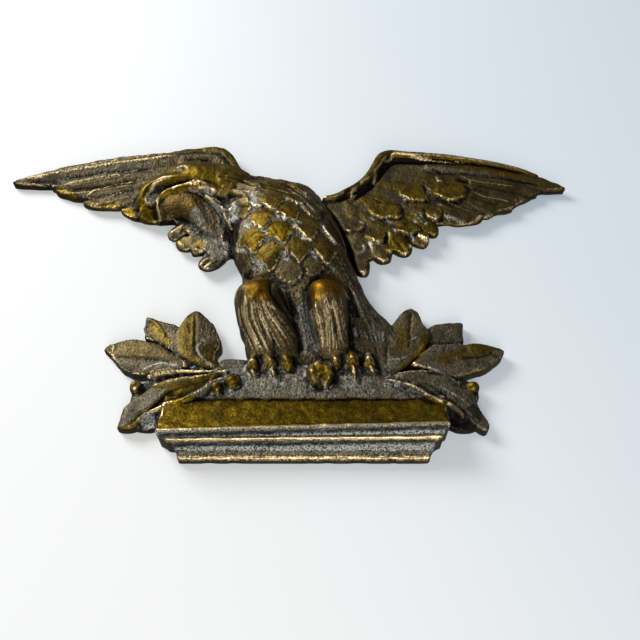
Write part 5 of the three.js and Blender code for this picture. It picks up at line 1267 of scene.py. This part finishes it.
# Along lower edges the front of the wings hangs down a little, and the foot on the wall stands back from it
low_edge = blur(facing_down * fall_off(np.maximum(IN, 0), 4.5), 0.8) * smooth((Z + 50) / 8)
hang = Z - low_edge * np.where(X > 0, 3.2 - 2.0 * smooth((X - 95) / 12), 0.7 * smooth((X + 130) / 15))
foot_z = Z + low_edge * smooth((X + 125) / 15) * np.where(X > 0, 0, 1.6 + 1.4 * smooth((X + 92) / 10))

# Front: the grid points inside the outline, and outline points where it crosses the grid
metal = IN > 0
corner_of = np.full(X.shape, -1)
corner_of[metal] = np.arange(metal.sum())
places = [np.stack([X[metal], -surface[metal], hang[metal], foot_z[metal]], 1)]
values = {name: [field[metal]] for name, field in MASKS.items()}
EDGE_SHARE = dict(cavity=0.3, hollow=0.3, worn=0.25, pale=0.3)


def crossings(a, b):
    """Outline points between neighbouring grid points"""
    cross = metal[a] != metal[b]
    index = np.full(cross.shape, -1)
    index[cross] = sum(map(len, places)) + np.arange(cross.sum())
    share = (IN[a] / (IN[a] - IN[b] + 1e-12))[cross]

    def between(field):
        return field[a][cross] * (1 - share) + field[b][cross] * share

    height = np.maximum(between(H - drop), 1.2)
    places.append(np.stack([between(X), -height, between(hang), between(foot_z)], 1))
    for name, field in MASKS.items():
        values[name].append(between(field) * EDGE_SHARE.get(name, 1))
    return index


E_H = crossings(np.s_[:, :-1], np.s_[:, 1:])
E_V = crossings(np.s_[:-1], np.s_[1:])
places = np.concatenate(places)
places, foot_z = places[:, :3], places[:, 3]

# Faces of each cell, by which of its corners c0 to c3 are metal; e0 to e3 are outline points on its edges
corner = [corner_of[:-1, :-1], corner_of[:-1, 1:], corner_of[1:, 1:], corner_of[1:, :-1]]
points_of = {"c": corner, "e": [E_H[:-1], E_V[:, 1:], E_H[1:], E_V[:, :-1]]}
case = sum((c >= 0).astype(int) << k for k, c in enumerate(corner))
POLYGONS = {
    1: ["c0 e0 e3"], 2: ["c1 e1 e0"], 3: ["c0 c1 e1 e3"], 4: ["c2 e2 e1"], 5: ["c0 e0 e3", "c2 e2 e1"],
    6: ["c1 c2 e2 e0"], 7: ["c0 c1 c2 e2 e3"], 8: ["c3 e3 e2"], 9: ["c0 e0 e2 c3"],
    10: ["c1 e1 e0", "c3 e3 e2"], 11: ["c0 c1 e1 e2 c3"], 12: ["c2 c3 e3 e1"], 13: ["c0 e0 e1 c2 c3"],
    14: ["c1 c2 c3 e3 e0"],
}
quads = np.stack([c[case == 15] for c in corner], 1)
rise = np.abs(places[quads[:, :2], 1] - places[quads[:, 2:], 1])
split = (rise[:, 0] <= rise[:, 1])[:, None]
faces = [np.where(split, quads[:, [0, 1, 2]], quads[:, [0, 1, 3]]),
         np.where(split, quads[:, [0, 2, 3]], quads[:, [1, 2, 3]])]
rim = []
for code, polygons in POLYGONS.items():
    for names in map(str.split, polygons):
        loop = [points_of[name[0]][int(name[1])][case == code] for name in names]
        faces += [np.stack([loop[0], loop[k], loop[k + 1]], 1) for k in range(1, len(loop) - 1)]
        for k, after in enumerate(list(range(1, len(names))) + [0]):
            if names[k][0] == names[after][0] == "e":
                rim.append(np.stack([loop[k], loop[after]], 1))
rim = np.concatenate(rim)

# Sides, painted with shade from just below the edge down to the wall. The back is the outline again on
# the wall, and points inside it.
front_count = len(places)
order = np.unique(rim)
side_of = np.full(front_count, -1)
side_of[order] = front_count + np.arange(len(order))
back_of = side_of + len(order)
side_ring, back_ring = places[order].copy(), places[order].copy()
side_ring[:, 1] = np.minimum(side_ring[:, 1] + 0.5, -0.5)
back_ring[:, 1] = 0
back_ring[:, 2] = foot_z[order]
for upper, lower in ((np.arange(front_count), side_of), (side_of, back_of)):
    faces.append(np.stack([upper[rim[:, 1]], upper[rim[:, 0]], lower[rim[:, 0]]], 1))
    faces.append(np.stack([upper[rim[:, 1]], lower[rim[:, 0]], lower[rim[:, 1]]], 1))
EVERY = 12  # grid points between those of the back
back_grid = np.zeros(X.shape, bool)
back_grid[::EVERY, ::EVERY] = IN[::EVERY, ::EVERY] > 6
flat = np.concatenate([back_ring, np.stack([X[back_grid], 0 * X[back_grid], Z[back_grid]], 1)])
back_start = front_count + len(order)
segments = (back_of[rim] - back_start).tolist()
_, _, found, origin, _, _ = delaunay_2d_cdt([Vector((p[0], p[2])) for p in flat], segments, [], 1, 1e-6, True)
found = [[origin[i][0] for i in face] for face in found]

# Triangles of the back beyond its outline are left out, from the hull inwards
sides = {}
for f, face in enumerate(found):
    for k in range(3):
        sides.setdefault(frozenset((face[k - 1], face[k])), []).append(f)
outline = {frozenset(segment) for segment in segments}
queue = [own[0] for side, own in sides.items() if len(own) == 1 and side not in outline]
beyond = set(queue)
while queue:
    face = found[queue.pop()]
    for k in range(3):
        side = frozenset((face[k - 1], face[k]))
        fresh = [] if side in outline else [f for f in sides[side] if f not in beyond]
        beyond.update(fresh)
        queue.extend(fresh)
back_faces = np.array([face for f, face in enumerate(found) if f not in beyond])
a, b, c = (flat[back_faces[:, k]][:, [0, 2]] for k in range(3))
area = (b[:, 0] - a[:, 0]) * (c[:, 1] - a[:, 1]) - (b[:, 1] - a[:, 1]) * (c[:, 0] - a[:, 0])
faces.append(np.where((area > 0)[:, None], back_faces[:, ::-1], back_faces) + back_start)
faces = np.concatenate(faces)

# Mesh of the casting, kept inside the solid's box
places = np.concatenate([places, side_ring, flat])
low, high = np.array(CAD_BOX) * 1000
places = np.clip(places, low + 0.01, high - [0.01, 0, 0.01])
mesh = bpy.data.meshes.new("eagle_plaque_casting")
mesh.vertices.add(len(places))
mesh.vertices.foreach_set("co", (places / 1000).astype(np.float32).ravel())
mesh.loops.add(faces.size)
mesh.loops.foreach_set("vertex_index", faces.astype(np.int32).ravel())
mesh.polygons.add(len(faces))
mesh.polygons.foreach_set("loop_start", np.arange(0, faces.size, 3, dtype=np.int32))
mesh.polygons.foreach_set("use_smooth", np.arange(len(faces)) < len(faces) - len(back_faces))
mesh.update(calc_edges=True)
mesh.validate()
for name, parts in values.items():
    front = np.concatenate(parts)
    # The sides get painted shade, at least 0.6 of the darkening mask.
    ring = np.maximum(front[order], 0.6) if name == "dark" else front[order]
    spots = np.zeros(len(places))
    spots[:back_start + len(order)] = np.concatenate([front, ring, ring])
    mesh.attributes.new(name, "FLOAT", "POINT").data.foreach_set("value", spots.astype(np.float32))
casting = bpy.data.objects.new("casting", mesh)
bpy.context.collection.objects.link(casting)

# Aged brass, coloured by the masks of the mesh


def material(name):
    """New material, whose nodes the functions below add to"""
    made = bpy.data.materials.new(name)
    made.use_nodes = True
    return made, made.node_tree.nodes, made.node_tree.links


brass, nodes, links = material("aged_brass")
nodes.clear()


def node(kind, **settings):
    made = nodes.new(kind)
    for name, value in settings.items():
        setattr(made, name, value)
    return made


def feed(socket, value):
    if isinstance(value, bpy.types.NodeSocket):
        links.new(value, socket)
    else:
        socket.default_value = value


def fill(made, **values):
    """Sets or links inputs of a node, and gives its first output"""
    for name, value in values.items():
        feed(made.inputs[name.replace("_", " ")], value)
    return made.outputs[0]


def math_node(operation, a, b=0.0, clamp=False):
    made = node("ShaderNodeMath", operation=operation, use_clamp=clamp)
    feed(made.inputs[0], a)
    feed(made.inputs[1], b)
    return made.outputs[0]


def add(a, b):
    return math_node("ADD", a, b)


def times(a, b):
    return math_node("MULTIPLY", a, b)


def centred(value, factor):
    return times(math_node("SUBTRACT", value, 0.5), factor)


def ramp(value, low, high):
    """0 below low, 1 above high"""
    made = node("ShaderNodeMapRange", interpolation_type="SMOOTHSTEP")
    return fill(made, Value=value, From_Min=low, From_Max=high)


def speckle(size, detail, stretch=(1, 1, 1)):
    """Noise with spots about size millimetres wide"""
    place = node("ShaderNodeTexCoord").outputs["Object"]
    turned = fill(node("ShaderNodeMapping"), Vector=place, Scale=stretch)
    return fill(node("ShaderNodeTexNoise"), Vector=turned, Scale=1000.0 / size, Detail=detail, Roughness=0.5)


def blend(share, a, b, kind="RGBA"):
    made = node("ShaderNodeMix", data_type=kind)
    feed(made.inputs["Factor"], share)
    feed(made.inputs["A"], a)
    feed(made.inputs["B"], b)
    return made.outputs["Result"]


BROWN = (0.062, 0.046, 0.017, 1)
DARK_BROWN = (0.024, 0.017, 0.005, 1)
GOLD_LIT = (0.225, 0.143, 0.006, 1)
GOLD_DEEP = (0.072, 0.047, 0.002, 1)
ORANGE = (0.25, 0.105, 0.004, 1)
GREY_LIT = (0.21, 0.19, 0.140, 1)
GREY_DEEP = (0.042, 0.037, 0.024, 1)
DUST = (0.74, 0.77, 0.71, 1)
BARE_METAL_AND_HIGHLIGHT = (0.80, 0.62, 0.33, 1)
BLACK = (0.004, 0.003, 0.002, 1)

fine, grit, mottle = speckle(0.6, 4.0), speckle(0.95, 3.0, (1, 1, 0.7)), speckle(2.4, 3.0)
blotch = ramp(speckle(8.0, 3.0), 0.46, 0.66)
cavity, hollow, rough, grey, gold, warm, pale, dark, worn = (
    node("ShaderNodeAttribute", attribute_name=name).outputs["Fac"]
    for name in ("cavity", "hollow", "rough", "grey", "gold", "warm", "pale", "dark", "worn"))

golden = blend(ramp(add(centred(mottle, 0.7), fine), 0.30, 0.68), GOLD_DEEP, GOLD_LIT)
greyish = blend(ramp(add(fine, centred(grit, 0.8)), 0.34, 0.64), GREY_DEEP, GREY_LIT)
colour = blend(gold, BROWN, golden)
colour = blend(times(warm, 0.95), colour, blend(ramp(fine, 0.3, 0.7), GOLD_DEEP, ORANGE))
colour = blend(times(grey, 0.92), colour, greyish)
colour = blend(times(blotch, 0.5), colour, DARK_BROWN)
grain = times(centred(grit, 1.0), add(0.25, times(rough, 1.15)))
# Hollows and creases go black: dark patina there, and painted shade where light doesn't reach.
hollow_shade_and_patina = ramp(times(add(times(hollow, 0.45), add(cavity, grain)), -1.0), 0.06, 0.50)
colour = blend(times(hollow_shade_and_patina, 0.94), colour, BLACK)
dust = times(times(ramp(times(cavity, -1.0), 0.05, 0.25), times(grey, rough)), ramp(mottle, 0.5, 0.62))
dust = math_node("MAXIMUM", times(dust, 0.4), times(pale, ramp(add(fine, centred(grit, 0.5)), 0.38, 0.58)))
colour = blend(dust, colour, DUST)
# High spots rubbed bare, and the wear mask with its painted highlights, turn pale bright brass.
high_spot = add(cavity, math_node("SUBTRACT", times(grain, 0.9), times(gold, 0.3)))
bare_and_highlight = math_node("MAXIMUM", ramp(high_spot, 0.22, 0.60), ramp(add(worn, centred(grit, 1.3)), 0.40, 0.90))
colour = blend(times(bare_and_highlight, 0.9), colour, BARE_METAL_AND_HIGHLIGHT)
# Painted shade and shadows, with dark patina, go black here.
colour = blend(times(dark, 0.92), colour, BLACK)

metallic = math_node("SUBTRACT", 0.98, times(grey, 0.5), True)
metallic = math_node("SUBTRACT", metallic, times(dust, 0.6), True)
roughness = add(blend(grey, 0.44, 0.54, "FLOAT"), centred(fine, 0.3))
roughness = math_node("SUBTRACT", roughness, times(bare_and_highlight, 0.08), True)
relief = times(add(fine, times(grit, 1.6)), add(0.35, rough))
normal = fill(node("ShaderNodeBump"), Height=relief, Distance=0.00030, Strength=0.9)
shader = fill(node("ShaderNodeBsdfPrincipled"), Base_Color=colour, Metallic=metallic, Roughness=roughness,
              Normal=normal)
feed(node("ShaderNodeOutputMaterial").inputs["Surface"], shader)
mesh.materials.append(brass)

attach(casting, "root")
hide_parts("eagle_plaque")

# Pale cloth behind the plaque, seen from its front only. It glows with painted light, which falls off to the
# right and upwards from warm white to a dimmer blue.
CLOTH_REACH, CLOTH_BEHIND = 3.0, 0.0008
cloth_mesh = bpy.data.meshes.new("cloth")
cloth_mesh.from_pydata([(x * CLOTH_REACH, CLOTH_BEHIND, z * CLOTH_REACH)
                        for x, z in ((-1, -1), (1, -1), (1, 1), (-1, 1))], [], [(0, 1, 2, 3)])
cloth = bpy.data.objects.new("cloth", cloth_mesh)
bpy.context.collection.objects.link(cloth)
pale_cloth, nodes, links = material("pale_cloth")
cloth_mesh.materials.append(pale_cloth)
across = node("ShaderNodeSeparateXYZ")
feed(across.inputs["Vector"], node("ShaderNodeTexCoord").outputs["Object"])
fall = add(across.outputs["X"], times(across.outputs["Z"], 0.5))
glow = blend(ramp(fall, -0.16, 0.16), (0.93, 0.93, 0.88, 1), (0.56, 0.68, 0.79, 1))
front = fill(nodes["Principled BSDF"], Base_Color=(0.50, 0.52, 0.54, 1), Emission_Color=glow,
             Emission_Strength=0.39, Roughness=0.9)
mixer = node("ShaderNodeMixShader")
feed(mixer.inputs[0], node("ShaderNodeNewGeometry").outputs["Backfacing"])
feed(mixer.inputs[1], front)
feed(mixer.inputs[2], node("ShaderNodeBsdfTransparent").outputs["BSDF"])
feed(nodes["Material Output"].inputs["Surface"], mixer.outputs["Shader"])
cloth.visible_diffuse = cloth.visible_glossy = cloth.visible_shadow = False

# Soft light from the upper left and from below, in a pale room
MIDDLE = Vector((0, -0.01, -0.03))
for name, place, size, power, colour in (
    ("key", Vector((-0.72, -0.62, 0.50)), 0.5, 14, (1.0, 0.98, 0.95)),
    ("fill", Vector((0.0, -0.50, -0.95)), 0.6, 6, (1.0, 0.98, 0.96)),
):
    light = bpy.data.lights.new(name, "AREA")
    light.shape, light.size, light.energy, light.color = "SQUARE", size, power, colour
    lamp = bpy.data.objects.new(name, light)
    lamp.location = place
    lamp.rotation_euler = (MIDDLE - place).to_track_quat("-Z", "Y").to_euler()
    bpy.context.collection.objects.link(lamp)
world = bpy.data.worlds.new("room")
world.use_nodes = True
background = world.node_tree.nodes["Background"].inputs
background["Color"].default_value = (0.95, 0.97, 1.0, 1)
background["Strength"].default_value = 0.20
bpy.context.scene.world = world

# Camera at the photo's angle
lens = bpy.data.cameras.new("camera")
lens.lens, lens.sensor_width = LENS, SENSOR
camera = bpy.data.objects.new("camera", lens)
camera.location = (CAMERA[0] / 1000, -CAMERA[1] / 1000, CAMERA[2] / 1000)
camera.rotation_euler = (math.radians(180 - CAMERA_TILT), 0, 0)
bpy.context.collection.objects.link(camera)
bpy.context.scene.camera = camera
bpy.context.scene.view_settings.view_transform = "Standard"
